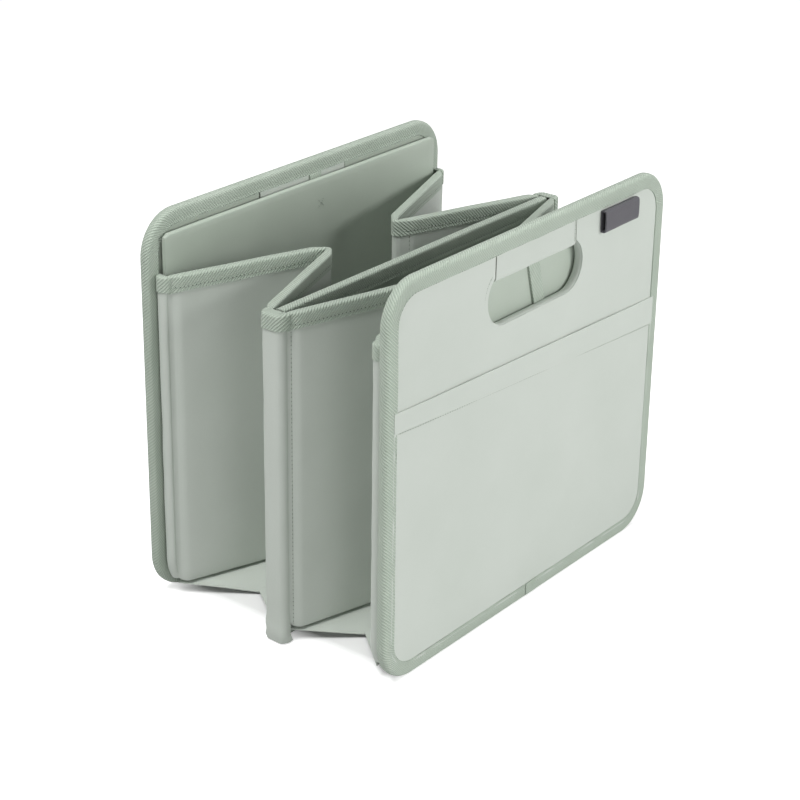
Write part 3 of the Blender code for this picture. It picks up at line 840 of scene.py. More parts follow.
# %% [markdown]
# The pocket is a second cloth over the lower part of the front. Its mouth is hemmed: the cloth is
# folded back on itself, so a band below the mouth is thicker and ends in a stitch line. The mouth runs
# a little downhill, and the hem is wider at the right, as on the real one.

# %% Pocket on the front
POCKET_TOP_LEFT = 0.195
POCKET_TOP_RIGHT = 0.183
HEM_LEFT = 16 * MM
HEM_RIGHT = 23 * MM
POCKET_INSET = 8 * MM


def pocket_top(x):
    share = (x + WIDTH / 2) / WIDTH
    return POCKET_TOP_LEFT + (POCKET_TOP_RIGHT - POCKET_TOP_LEFT) * share


def hem_depth(x):
    share = (x + WIDTH / 2) / WIDTH
    return HEM_LEFT + (HEM_RIGHT - HEM_LEFT) * share


def lay_pocket():
    rows = steps(POCKET_INSET, POCKET_TOP_LEFT - HEM_LEFT - 3 * MM, 3.5 * MM)
    rows += steps(POCKET_TOP_LEFT - HEM_LEFT - 2 * MM, POCKET_TOP_LEFT, 1.0 * MM)
    piece = cut_flat("front_pocket_cloth", steps(-WIDTH / 2, WIDTH / 2, 3.5 * MM), rows)

    def place(u, v):
        x = u / (WIDTH / 2) * half_at(v, POCKET_INSET)
        top = pocket_top(x)
        body = POCKET_TOP_LEFT - HEM_LEFT
        if v > body:
            z = top - (POCKET_TOP_LEFT - v) / HEM_LEFT * hem_depth(x)
        else:
            share = (v - POCKET_INSET) / (body - POCKET_INSET)
            z = POCKET_INSET + share * (top - hem_depth(x) - POCKET_INSET)
        below = top - z
        away = ease((WIDTH / 2 - TAPE_WIDTH - abs(x)) / (30 * MM)) * ease((z - TAPE_WIDTH) / (40 * MM))
        hem = 0.35 * MM * ease((hem_depth(x) - below) / (0.8 * MM))
        stitched = 0.30 * MM * groove(below - hem_depth(x) + 1.6 * MM, 1.0 * MM)
        gape = 0.6 * MM * away * ease(1 - below / (60 * MM))
        lift = hem - stitched + gape
        lift += 0.3 * MM * away * (ripple(x, z, 80 * MM, 8) + 0.4 * ripple(x, z, 30 * MM, 9))
        return end_point("front", x, 0.55 * MM - lift, z)

    lay(piece, place)
    thicken(piece, CLOTH)
    finish_piece(piece, cover_cloth, "front_end", ["front_pocket"])
    reach = WIDTH / 2 - TAPE_WIDTH - 1 * MM
    seam = []
    for x in steps(-reach, reach, 3 * MM):
        away = ease((WIDTH / 2 - TAPE_WIDTH - abs(x)) / (30 * MM))
        out = 0.55 * MM - 0.35 * MM - 0.35 * MM * away - 0.3 * MM
        z = pocket_top(x) - hem_depth(x) + 1.6 * MM
        seam.append((end_point("front", x, out, z), end_normal("front")))
    return sew("front_pocket_stitches", seam, "front_end", pitch=2.6 * MM, length=2.0 * MM, thick=0.35 * MM)


print("pocket hem:", lay_pocket(), "stitches")

# %% [markdown]
# The tag is a blank grey ribbon folded into a flat loop that stands off the cloth. It is laid as a
# closed band: up the back, over, down the front and under, with a soft crown on the front.

# %% Ribbon tag
def lay_tag():
    low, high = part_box("front_tag")
    depth = high.y - low.y - 1.2 * MM
    height = high.z - low.z - 1.2 * MM
    rounding = 1.1 * MM
    around = outline_length(depth / 2, height, rounding)
    across = steps(0, around, 0.8 * MM)
    piece = cut_flat("front_ribbon_tag", steps(low.x, high.x, 2 * MM), across)
    middle_y = (low.y + high.y) / 2

    def place(u, v):
        point, out = walk_outline(v, depth / 2, low.z + 0.6 * MM, high.z - 0.6 * MM, rounding)
        crown = 0.35 * MM * ease((point.y - low.z) / (5 * MM)) * ease((high.z - point.y) / (5 * MM))
        y = middle_y + point.x - (crown if out.x < 0 else 0)
        return Vector((u, y, point.y + 0.15 * MM * ripple(u, v, 12 * MM, 4)))

    lay(piece, place)
    merge_seam(piece)
    thicken(piece, 1.0 * MM)
    finish_piece(piece, ribbon, "front_end", ["front_tag"])
    return piece


print(lay_tag().name, "laid")

# %% [markdown]
# Behind each end stands a base plate, folded up: card in a smooth cover. The cover is a full, closed
# envelope, so it is laid as one cloth round the card and closed at both ends. Soft wrinkles run down
# from its top edge.

# %% Base plates
def lay_plate(end):
    low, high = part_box(f"{end}_plate_cover")
    thick = high.y - low.y
    half = (high.x - low.x) / 2
    rounding = 1.3 * MM
    section = outline_length(thick / 2, high.z - low.z, rounding)
    turn = math.pi * rounding / 2
    straight = high.z - low.z - 2 * rounding
    base = thick / 2 - rounding
    marks = [0, base, base + turn, base + turn + straight]
    marks += [marks[-1] + turn, marks[-1] + turn + 2 * base]
    marks += [marks[-1] + turn, marks[-1] + turn + straight, marks[-1] + 2 * turn + straight, section]
    across = []
    for a, b in zip(marks, marks[1:]):
        spacing = 0.55 * MM if b - a < 5 * MM else 4 * MM
        across += steps(a, b, spacing)[:-1]
    across.append(section)
    piece = cut_flat(f"{end}_plate_cloth", steps(-half, half, 4 * MM), across)
    middle_y = (low.y + high.y) / 2
    seed = 11 if end == "rear" else 12

    def place(u, v):
        point, _ = walk_outline(v, thick / 2, low.z, high.z, rounding)
        corner = max(0.0, abs(u) - half + 2 * MM) / (2 * MM)
        round_off = 2 * MM * (1 - math.sqrt(max(0.0, 1 - corner**2)))
        z = point.y
        z -= round_off * ease((z - high.z + 12 * MM) / (12 * MM))
        z += round_off * ease((low.z + 12 * MM - z) / (12 * MM))
        fall = (high.z - z) / (high.z - low.z)
        wrinkle = ripple(u + 0.35 * z, z * 0.35, 42 * MM, seed) * ease(fall * 5) * (1 - 0.6 * fall)
        puff = 0.25 * MM + 0.95 * MM * wrinkle + 0.2 * MM * ripple(u, z, 22 * MM, seed + 1)
        edge = ease((high.z - z) / (6 * MM)) * ease((z - low.z) / (6 * MM))
        edge *= ease((half - abs(u)) / (8 * MM))
        thin = 1 - 0.35 * ease(1 - (half - abs(u)) / (3 * MM))
        sag = 0.8 * MM * ripple(u, 0, 90 * MM, seed + 2) * ease(1 - (high.z - z) / (10 * MM))
        return Vector((u, middle_y + point.x * thin + math.copysign(puff * edge, point.x), z + sag))

    lay(piece, place)
    merge_seam(piece)
    close_ends(piece)
    finish_piece(piece, lining_cloth, f"{end}_end", [f"{end}_plate_cover"])
    return piece


for end in ("front", "rear"):
    plate = lay_plate(end)
    print(plate.name, len(plate.data.polygons), "faces")

# %% [markdown]
# A loop of tape is sewn to the back of each plate to pull it down by, and a cross of stitches on the
# plate's front shows where. A narrow strip of cloth hinges the plate's lower edge to the end.

# %% Pull loops and hinge strips
def lay_pull_loop(end):
    low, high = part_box(f"{end}_pull_loop")
    half = (high.y - low.y) / 2 - 0.35 * MM
    stop = half * math.pi / 2 + high.z - low.z - half
    across = tape_lines(half, half * 0.98, stop)
    piece = cut_flat(f"{end}_loop_tape", steps(low.x, high.x, 1.2 * MM), across)
    middle = (low + high) / 2

    def place(u, v):
        offset, drop = hairpin(v, half, half * 0.98)
        slant = -0.28 * (min(high.z - drop, 0.253) - 0.225) if end == "front" else 0.0
        wave_over = 0.12 * MM * ripple(u, v, 9 * MM, 14)
        return Vector((u + slant, middle.y + offset + wave_over, high.z - 0.35 * MM - drop))

    lay(piece, place)
    thicken(piece, 0.6 * MM)
    finish_piece(piece, binding_tape, f"{end}_end", [f"{end}_pull_loop"])


def lay_hinge_strip(end):
    low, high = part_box(f"{end}_plate_hinge")
    ledge = high.y - low.y
    leg = high.z - low.z
    bend = 0.6 * MM
    across = steps(0, ledge, 1 * MM) + steps(ledge, ledge + leg, 1.5 * MM)[1:]
    piece = cut_flat(f"{end}_plate_strip", steps(low.x, high.x, 5 * MM), across)
    inwards = 1 if end == "front" else -1
    start_y = low.y if end == "front" else high.y

    def place(u, v):
        if v <= ledge:
            return Vector((u, start_y + inwards * (ledge - v + bend * 0.3), low.z + 0.35 * MM))
        rise = v - ledge
        return Vector((u, start_y + inwards * 0.35 * MM, low.z + 0.35 * MM + rise * 0.95))

    lay(piece, place)
    thicken(piece, 0.6 * MM)
    finish_piece(piece, lining_cloth, f"{end}_end", [f"{end}_plate_hinge"])


def sew_cross(end):
    low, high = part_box(f"{end}_plate_cover")
    loop_low, loop_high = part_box(f"{end}_pull_loop")
    middle_x = (loop_low.x + loop_high.x) / 2
    y = high.y + 0.35 * MM if end == "front" else low.y - 0.35 * MM
    out = Vector((0, 1 if end == "front" else -1, 0))
    reach, height = 3.2 * MM, 0.248
    for number, tilt in enumerate((1, -1)):
        offsets = [reach * s for s in steps(-1, 1, 0.2)]
        seam = [(Vector((middle_x + s, y, height + s * tilt)), out) for s in offsets]
        sew(f"{end}_cross_stitches_{number + 1}", seam, f"{end}_end", pitch=1.6 * MM, length=1.3 * MM)


for end in ("front", "rear"):
    lay_pull_loop(end)
    lay_hinge_strip(end)
    sew_cross(end)

# %% [markdown]
# Now the pleated side walls. In plan, a bay's wall is two straight runs that meet at the fold line.
# Each run knows its near point, its direction and which way is outside. The cloth round both boards
# is one tube, which gets thin at the fold.

# %% Plan of the four wall strips
class WallStrip:
    """Half of a bay's side: two panels from one hinge line to the next, seen in plan."""

    def __init__(self, name, side, near, fold, bodies, nodes, joined):
        self.name, self.side, self.near, self.fold = name, side, Vector(near).to_2d(), Vector(fold).to_2d()
        self.bodies, self.nodes, self.joined = bodies, nodes, joined
        span = self.fold - self.near
        lean = math.atan2(FOLD_OFFSET, PANEL_LENGTH)
        turn = Matrix.Rotation(-side * lean, 2)
        self.direction = (turn @ span).normalized()
        self.outside = Vector((self.direction.y, -self.direction.x)) * (-side)
        if self.outside.dot(Vector((side, 0))) < 0:
            self.outside = -self.outside

    def mirror(self, point):
        return Vector((point.x, 2 * self.fold.y - point.y))

    def station(self, u):
        """Outer point, direction inwards, local thickness and share of the second panel."""
        run = PANEL_LENGTH
        first = u <= run
        s = u if first else 2 * run - u
        bend_zone = 3 * MM
        pinch = ease((s - run + 13 * MM) / (10 * MM))
        outer_at = OUTER_SKIN + (PANEL_DEPTH - 0.3 * MM - OUTER_SKIN) * pinch
        outer_at += (HINGE_NOSE - OUTER_SKIN) * ease(1 - s / (10 * MM))
        thick = (outer_at - INNER_SKIN) * (1 - pinch) + NOSE * pinch
        if s > run - bend_zone:
            turned = (run - s) / bend_zone
            angle_first = math.atan2(-self.outside.y, -self.outside.x)
            middle = 0.0 if self.side < 0 else math.pi
            gap = (angle_first - middle + math.pi) % (2 * math.pi) - math.pi
            angle = middle + gap * turned * (1 if first else -1)
            inwards = Vector((math.cos(angle), math.sin(angle)))
            share = 0.5 + 0.5 * turned * (-1 if first else 1)
            return self.fold, inwards, NOSE, ease(share)
        distance = s * run / (run - bend_zone)
        start = self.near + self.direction * max(distance, 0.3 * MM) + self.outside * outer_at
        inwards = -self.outside
        if not first:
            start = self.mirror(start)
            inwards = Vector((inwards.x, -inwards.y))
        return start, inwards, thick, 0.0 if first else 1.0


OUTER_SKIN = PANEL_DEPTH - 0.9 * MM
INNER_SKIN = 0.9 * MM
NOSE = 3.0 * MM
HINGE_NOSE = 3.6 * MM
STRIPS = [
    WallStrip("left_rear", -1, hinge_at["rear_fold"], hinge_at["left_fold_12"],
              ("left_1", "left_2"), ("wall_left_1", "wall_left_2"), ("rear_end", "divider")),
    WallStrip("right_rear", 1, hinge_at["rear_right_hinge"], hinge_at["right_fold_12"],
              ("right_1", "right_2"), ("wall_right_1", "wall_right_2"), ("rear_end", "divider")),
    WallStrip("left_front", -1, hinge_at["front_fold"], hinge_at["left_fold_34"],
              ("left_3", "left_4"), ("wall_left_3", "wall_left_4"), ("divider", "front_end")),
    WallStrip("right_front", 1, hinge_at["divider_right_front"], hinge_at["right_fold_34"],
              ("right_3", "right_4"), ("wall_right_3", "wall_right_4"), ("divider", "front_end")),
]
for strip in STRIPS:
    print(strip.name, "runs", tuple(round(c, 4) for c in strip.direction), "outside", tuple(strip.outside))

# %% [markdown]
# The wall cloth goes up the outside, over the top of the boards, down the inside and back under them.
# It dips along every seam, 10 mm from the fold and 3.5 mm from the hinges, and swells between.

# %% Wall cloth
SEAM_AT_FOLD = 10 * MM
SEAM_AT_HINGE = 3.5 * MM
TAPE_SEAM = 8 * MM
TOP_ROUNDING = 1.2 * MM


def wall_stations(spacing):
    run = PANEL_LENGTH
    first = steps(0.3 * MM, 10 * MM, 1.4 * MM) + steps(10 * MM, run - 16 * MM, spacing)[1:]
    first += steps(run - 16 * MM, run - 3 * MM, 1.6 * MM)[1:]
    first += steps(run - 3 * MM, run, 0.6 * MM)[1:]
    return first + [2 * run - u for u in reversed(first[:-1])]


def wall_section(bottom, top):
    """Places (share across, height) round a panel, with round upper and lower edges."""
    r = TOP_ROUNDING
    up = [(0.0, z) for z in steps(bottom + r, top - r, 4 * MM)]
    down = [(1.0, z) for z in reversed([z for _, z in up])]
    over = []
    under = []
    for k in range(1, 8):
        angle = math.pi * k / 8
        over.append((0.5 - 0.5 * math.cos(angle), top - r + r * math.sin(angle)))
        under.append((0.5 + 0.5 * math.cos(angle), bottom + r - r * math.sin(angle)))
    return up + over + down + under + [up[0]]


def section_lengths(section, thick):
    """Distance round a section up to each of its places."""
    lengths = [0.0]
    for a, b in zip(section, section[1:]):
        lengths.append(lengths[-1] + math.hypot((b[0] - a[0]) * thick, b[1] - a[1]))
    return lengths


def seam_dip(u):
    run = PANEL_LENGTH
    s = min(u, 2 * run - u)
    near_fold = groove(s - (run - SEAM_AT_FOLD), 1.6 * MM)
    near_hinge = groove(s - SEAM_AT_HINGE, 1.6 * MM)
    return 0.55 * MM * (near_fold + near_hinge)


def round_corner(s, z):
    """Lifts the lower corner beside a hinge line, so the cloth is round there like the end's corner."""
    inside = min(max(1 - s / (9 * MM), 0.0), 1.0)
    lift = 9 * MM * (1 - math.sqrt(1 - inside * inside))
    return z + lift * max(0.0, 1 - (z - WALL_BOTTOM) / (30 * MM))


def wall_swell(u, z, seed):
    """How far the cloth stands out from its plane in the middle of a panel."""
    run = PANEL_LENGTH
    s = min(u, 2 * run - u)
    away = ease((s - SEAM_AT_HINGE) / (18 * MM)) * ease((run - SEAM_AT_FOLD - s) / (18 * MM))
    top = ease((WALL_TOP - TAPE_WIDTH - z) / (14 * MM)) * ease((z - WALL_BOTTOM) / (10 * MM))
    slow = ripple(u, z * 0.6, 75 * MM, seed) + 0.45 * ripple(u, z, 30 * MM, seed + 1)
    pucker = 0.12 * MM * ripple(u * 0.3, z, 7 * MM, seed + 2) * (1 - away)
    return away * top * (0.4 * MM + 0.8 * MM * slow) + pucker


def lay_wall_cloth(strip):
    stations = wall_stations(3.5 * MM)
    section = wall_section(WALL_BOTTOM, WALL_TOP - 0.9 * MM)
    lengths = section_lengths(section, OUTER_SKIN - INNER_SKIN)
    piece = cut_flat(f"wall_{strip.name}_cloth", stations, lengths)
    seed = 20 + STRIPS.index(strip) * 3

    def place(u, v):
        start, inwards, thick, _ = strip.station(u)
        across, z = section[nearest(lengths, v)]
        dip = seam_dip(u)
        swell = wall_swell(u, z, seed + (0.5 if across > 0.5 else 0))
        depth = across * thick
        outer = 1 - 2 * across
        depth += (dip - swell) * outer
        spot = start + inwards * depth
        return Vector((spot.x, spot.y, round_corner(min(u, 2 * PANEL_LENGTH - u), z)))

    store_shares(piece, [strip.station(vertex.co.x)[3] for vertex in piece.data.vertices])
    lay(piece, place)
    merge_seam(piece)
    close_ends(piece)
    [f"{n}_board" for n in strip.nodes]
    finish_piece(piece, cover_cloth, None, [f"{n}_cover" for n in strip.nodes])
    bend_at_fold(piece, strip)
    return piece


def bend_at_fold(piece, strip):
    """Bakes a wall's cloth or tape into world space, then reads and removes the shares stored on it."""
    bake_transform(piece)
    use_shares(piece)


for strip in STRIPS:
    cloth = lay_wall_cloth(strip)
    print(cloth.name, len(cloth.data.polygons), "faces")

# %% [markdown]
# The tape over the top of the walls is the same twill as the binding. It follows the same stations
# as the wall cloth, so it turns with it at the fold.

# %% Wall tape
def lay_wall_tape(strip):
    stations = wall_stations(3 * MM)
    half = (OUTER_SKIN - INNER_SKIN) / 2 + TAPE / 2
    stop = hairpin_stop(half, TOP_ROUNDING, TAPE_WIDTH)
    piece = cut_flat(f"wall_{strip.name}_tape", stations, tape_lines(half, TOP_ROUNDING, stop))
    seed = 40 + STRIPS.index(strip)

    def place(u, v):
        start, inwards, local, _ = strip.station(u)
        half_here = local / 2 + TAPE / 2
        r = min(TOP_ROUNDING, half_here * 0.9)
        wander = 1 + 0.03 * ripple(u, v > 0, 20 * MM, seed) * abs(v) / stop
        offset, drop = hairpin(v * wander, half_here, r)
        sunk = 0.25 * MM * groove(drop - TAPE_SEAM, 0.9 * MM)
        dip = seam_dip(u) * 0.6 * min(1, drop / (2 * MM))
        side = 1 if offset > 0 else -1
        offset -= side * (sunk + dip)
        spot = start + inwards * (local / 2 + offset)
        sway = 0.25 * MM * ripple(u, 0, 40 * MM, seed + 1)
        return Vector((spot.x, spot.y, WALL_TOP - TAPE / 2 - drop + sway))

    store_shares(piece, [strip.station(vertex.co.x)[3] for vertex in piece.data.vertices])
    lay(piece, place)
    thicken(piece, TAPE)
    finish_piece(piece, binding_tape, None, [f"{n}_binding" for n in strip.nodes])
    bend_at_fold(piece, strip)


def wall_spot(strip, u, z, outer, lift):
    """A place on one side of the wall cloth, and the direction away from it."""
    start, inwards, thick, _ = strip.station(u)
    away = -inwards if outer else inwards
    base = start if outer else start + inwards * thick
    spot = base + away * lift
    return Vector((spot.x, spot.y, z)), Vector((away.x, away.y, 0))


def sew_wall(strip):
    run = PANEL_LENGTH
    total = 0
    for number, (low_u, high_u) in enumerate(((3 * MM, run - 5 * MM), (run + 5 * MM, 2 * run - 3 * MM))):
        body, label = strip.bodies[number], f"{strip.name}_{number + 1}"
        for outer in (True, False):
            face = "outer" if outer else "inner"
            seam_z, proud = WALL_TOP - TAPE_SEAM, TAPE - 0.1 * MM
            row = [wall_spot(strip, u, seam_z, outer, proud) for u in steps(low_u, high_u, 2 * MM)]
            total += sew(f"tape_stitches_{label}_{face}", row, body)
            seams = [("fold", run - SEAM_AT_FOLD), ("hinge", SEAM_AT_HINGE)]
            beside_end = strip.joined[number].endswith("_end")
            for place_name, s in seams[:1] if beside_end else seams:
                u = s if number == 0 else 2 * run - s
                heights = steps(WALL_BOTTOM + 3 * MM, WALL_TOP - TAPE_WIDTH - 1 * MM, 3 * MM)
                row = [wall_spot(strip, u, z, outer, -0.45 * MM) for z in heights]
                total += sew(f"{place_name}_stitches_{label}_{face}", row, body)
    return total


for strip in STRIPS:
    lay_wall_tape(strip)
    print("wall", strip.name, sew_wall(strip), "stitches")

# %% [markdown]
# Where a wall meets an end, its cloth goes round the hinge line in a soft roll, and a short piece of
# tape caps it. A roll centred on the hinge stays closed whichever way the panel turns. At the divider
# one column of cloth goes round both hinge lines.

# %% Rolls and columns at the hinge lines
END_ROLL = 4.3 * MM
COLUMN_ROLL = 4.7 * MM
COLUMN_REACH = 3.0 * MM
CAP_PROUD = 0.7 * MM
COLUMN_FOOT = 1.2 * MM
TUCK_ANGLE = math.radians(34)


def roll_route(centres, first_angle, last_angle, side, radius):
    """Stations (run, centre, direction, angle) round one or two hinge lines, on the outer side."""
    route, run = [], 0.0
    outward = 0.0 if side > 0 else math.pi
    arcs = [(centres[0], first_angle, outward if len(centres) > 1 else last_angle)]
    if len(centres) > 1:
        arcs.append((centres[1], outward, last_angle))
    for centre, start, stop in arcs:
        count = max(4, round(abs(stop - start) / math.radians(9)))
        for k in range(count + 1):
            angle = start + (stop - start) * k / count
            route.append((centre, angle))
    stations = []
    for k, (centre, angle) in enumerate(route):
        if k:
            last_centre, last = route[k - 1]
            run += (centre - last_centre).length + radius * abs(angle - last)
        stations.append((run, centre, Vector((math.cos(angle), math.sin(angle))), angle))
    return stations


def lay_roll(name, body, stations, full, tucks, bottom, replaced, shift, foot=0.0, reach=0.0):
    """Cloth round a hinge line, drawn in where it is tucked behind a wall."""
    runs = [s[0] for s in stations]
    heights = steps(bottom, WALL_TOP - TAPE_WIDTH + 3 * MM, 3 * MM)
    piece = cut_flat(f"{name}_cloth", runs, heights)
    seed = 60 + len(name)

    def place(u, v):
        _, centre, out, angle = stations[nearest(runs, u)]
        tuck = max(ease(1 - abs(angle - a) / TUCK_ANGLE) for a in tucks)
        radius = full * (1 - 0.3 * tuck)
        radius += 0.3 * MM * ripple(u * 2, v, 20 * MM, seed) * (1 - tuck)
        low = ease(1 - (v - bottom) / (28 * MM))
        radius += foot * low * (0.35 + 0.65 * ripple(u * 2.2, v * 1.4, 9 * MM, seed + 1))
        spot = centre + Vector((out.x * (radius + reach), out.y * radius))
        return Vector((spot.x - math.copysign(shift(v), spot.x), spot.y, v))

    lay(piece, place)
    thicken(piece, CLOTH)
    finish_piece(piece, cover_cloth, body, replaced)


def lay_cap(name, body, stations, roll, reach=0.0):
    runs = [s[0] for s in stations]
    full = roll + CAP_PROUD
    rounding = TOP_ROUNDING
    side_drop = TAPE_WIDTH - rounding
    turn = math.pi * rounding / 2
    inward = full - rounding - 0.2 * MM
    across = steps(0, side_drop, 1.5 * MM) + steps(side_drop, side_drop + turn, 0.45 * MM)[1:]
    across += steps(side_drop + turn, side_drop + turn + inward, 1.5 * MM)[1:]
    piece = cut_flat(f"{name}_cap_tape", runs, across)

    def place(u, v):
        _, centre, out, _ = stations[nearest(runs, u)]
        radius, z = full, WALL_TOP - TAPE_WIDTH + v
        if v > side_drop:
            bent = min((v - side_drop) / rounding, math.pi / 2)
            radius = full - rounding + rounding * math.cos(bent)
            z = WALL_TOP - rounding + rounding * math.sin(bent)
        if v > side_drop + turn:
            radius = full - rounding - (v - side_drop - turn)
        spot = centre + Vector((out.x * radius * (1 + reach / full), out.y * radius))
        return Vector((spot.x, spot.y, z - TAPE / 2 + 0.1 * MM))

    lay(piece, place)
    thicken(piece, TAPE)
    finish_piece(piece, binding_tape, body)


def end_shift(z):
    """The rolls of an end follow its round lower corners inwards."""
    return 0.8 * (WIDTH / 2 - half_at(max(z, 1 * MM), 0))


def column_shift(z):
    """The foot of a column is drawn in under the box."""
    low = min(max(1 - (z - COLUMN_FOOT) / (9 * MM), 0.0), 1.0)
    return 2 * MM * (1 - math.sqrt(1 - 0.98 * low * low))


def end_rolls():
    for strip in STRIPS:
        at_end_near = strip.joined[0] == "rear_end"
        hinge = strip.near if at_end_near else strip.mirror(strip.near)
        body = "rear_end" if at_end_near else "front_end"
        end = "rear" if at_end_near else "front"
        side_name = "left" if strip.side < 0 else "right"
        toward_end = 1 if end == "rear" else -1
        outward = 180 if strip.side < 0 else 0
        sign = toward_end * (1 if strip.side < 0 else -1)
        start = math.radians(outward - sign * 98)
        stop = math.radians(outward + sign * 88)
        stations = roll_route([hinge], start, stop, strip.side, END_ROLL)
        name = f"{end}_{side_name}_roll"
        replaced = [f"{end}_seam_{side_name}"]
        lay_roll(name, body, stations, END_ROLL, [stop], WALL_BOTTOM + 3 * MM, replaced, end_shift)
        lay_cap(name, body, stations, END_ROLL)
        print(name, "laid round", tuple(round(c, 4) for c in hinge))


def divider_columns():
    for side, side_name in ((-1, "left"), (1, "right")):
        rear = Vector((side * HINGE_X, hinge_at["divider_left_rear"].y))
        front = Vector((side * HINGE_X, hinge_at["front_fold"].y))
        outward = math.pi if side < 0 else 0.0
        spread = math.radians(92)
        start = outward - spread * (1 if side < 0 else -1)
        stop = outward + spread * (1 if side < 0 else -1)
        stations = roll_route([rear, front], start, stop, side, COLUMN_ROLL)
        name = f"divider_{side_name}_column"
        replaced = [f"divider_edge_{side_name}"]
        lay_roll(name, "divider", stations, COLUMN_ROLL, [start, stop], COLUMN_FOOT, replaced,
                 column_shift, foot=2.2 * MM, reach=COLUMN_REACH)
        lay_cap(name, "divider", stations, COLUMN_ROLL, COLUMN_REACH)
        print(name, "laid")


end_rolls()
divider_columns()

# %% [markdown]
# The divider is a straight panel, so its cloth tube and its tape use the same sections as the walls
# along a straight run. Lining cloth covers it.

# %% Divider
def lay_divider():
    low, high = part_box("divider_cover")
    top = WALL_TOP - 0.9 * MM
    thick = high.y - low.y + 0.6 * MM
    start_y = low.y - 0.3 * MM
    section = wall_section(low.z + 1.2 * MM, top)
    lengths = section_lengths(section, thick)
    half = HINGE_X - 2 * MM
    piece = cut_flat("divider_cloth", steps(-half, half, 4 * MM), lengths)

    def place(u, v):
        across, z = section[nearest(lengths, v)]
        away = ease((half - abs(u)) / (25 * MM)) * ease((top - TAPE_WIDTH - z) / (20 * MM))
        away *= ease(z / (15 * MM))
        swell = away * (0.2 * MM + 0.3 * MM * ripple(u, z, 60 * MM, 90 + across))
        return Vector((u, start_y + across * thick + (2 * across - 1) * swell, z))

    lay(piece, place)
    merge_seam(piece)
    close_ends(piece)
    finish_piece(piece, lining_cloth, "divider", ["divider_cover"])

    tape_half = thick / 2 + TAPE / 2
    stop = hairpin_stop(tape_half, TOP_ROUNDING, TAPE_WIDTH)
    tape = cut_flat("divider_tape", steps(-half, half, 3 * MM), tape_lines(tape_half, TOP_ROUNDING, stop))
    middle_y = (low.y + high.y) / 2

    def place_tape(u, v):
        wander = 1 + 0.03 * ripple(u, v > 0, 20 * MM, 93) * abs(v) / stop
        offset, drop = hairpin(v * wander, tape_half, TOP_ROUNDING)
        offset -= (1 if offset > 0 else -1) * 0.25 * MM * groove(drop - TAPE_SEAM, 0.9 * MM)
        sway = 0.3 * MM * ripple(u, 0, 60 * MM, 94)
        return Vector((u, middle_y + offset, WALL_TOP - TAPE / 2 - drop + sway))

    lay(tape, place_tape)
    thicken(tape, TAPE)
    finish_piece(tape, binding_tape, "divider", ["divider_binding"])
    for sign, face in ((-1, "front"), (1, "rear")):
        y = middle_y + sign * (tape_half + 0.1 * MM)
        places = steps(-half + 5 * MM, half - 5 * MM, 3 * MM)
        row = [(Vector((x, y, WALL_TOP - TAPE_SEAM)), Vector((0, sign, 0))) for x in places]
        sew(f"divider_stitches_{face}", row, "divider")


lay_divider()
for node in frame["nodes"].values():
    if node.name.endswith("_board"):
        node.data.materials.clear()
        node.data.materials.append(card)

# %% [markdown]
# Each bay has a soft floor. When the box is half folded its cloth lies in overlapping pleats that fan
# out from the four hinge lines of the bay, and part of it spreads outside the walls. Each point of a fan
# is given a share that grows with the angle, which is stored and read back once the fan is baked in place.

# %% Floor cloth
FLAP_WAIST = 0.114
FLAP_LAG = 0.3
FAN_START = 0.045
FAN_LIMIT = 0.27
FAN_SLOPE = 65 * MM
STILL_FAN = 0.4
RIGHT_SPREAD = 1.6


def fan_radius(angle, panel_angle, half_bay, follows, spread):
    """How far a fan reaches. One that can't turn with its wall stays close to its own end, and the
    one across from it gets a larger spread, to cover more of the floor between them."""
    flap_reach = min(PANEL_LENGTH, half_bay / math.sin(max(angle, 1e-6)))
    if not follows:
        return STILL_FAN * flap_reach
    if angle > panel_angle + 1e-4:
        return flap_reach
    opened = math.pi / 2 * angle / panel_angle
    side_reach = HINGE_X / max(math.cos(opened), 1e-6)
    across_bay = (2 * half_bay - 7 * MM) / max(math.sin(angle), 1e-6)
    end_reach = (spread - 0.1) * 1.3 * PANEL_LENGTH / max(math.sin(opened), 1e-6)
    return min(side_reach, across_bay, end_reach, FAN_LIMIT)


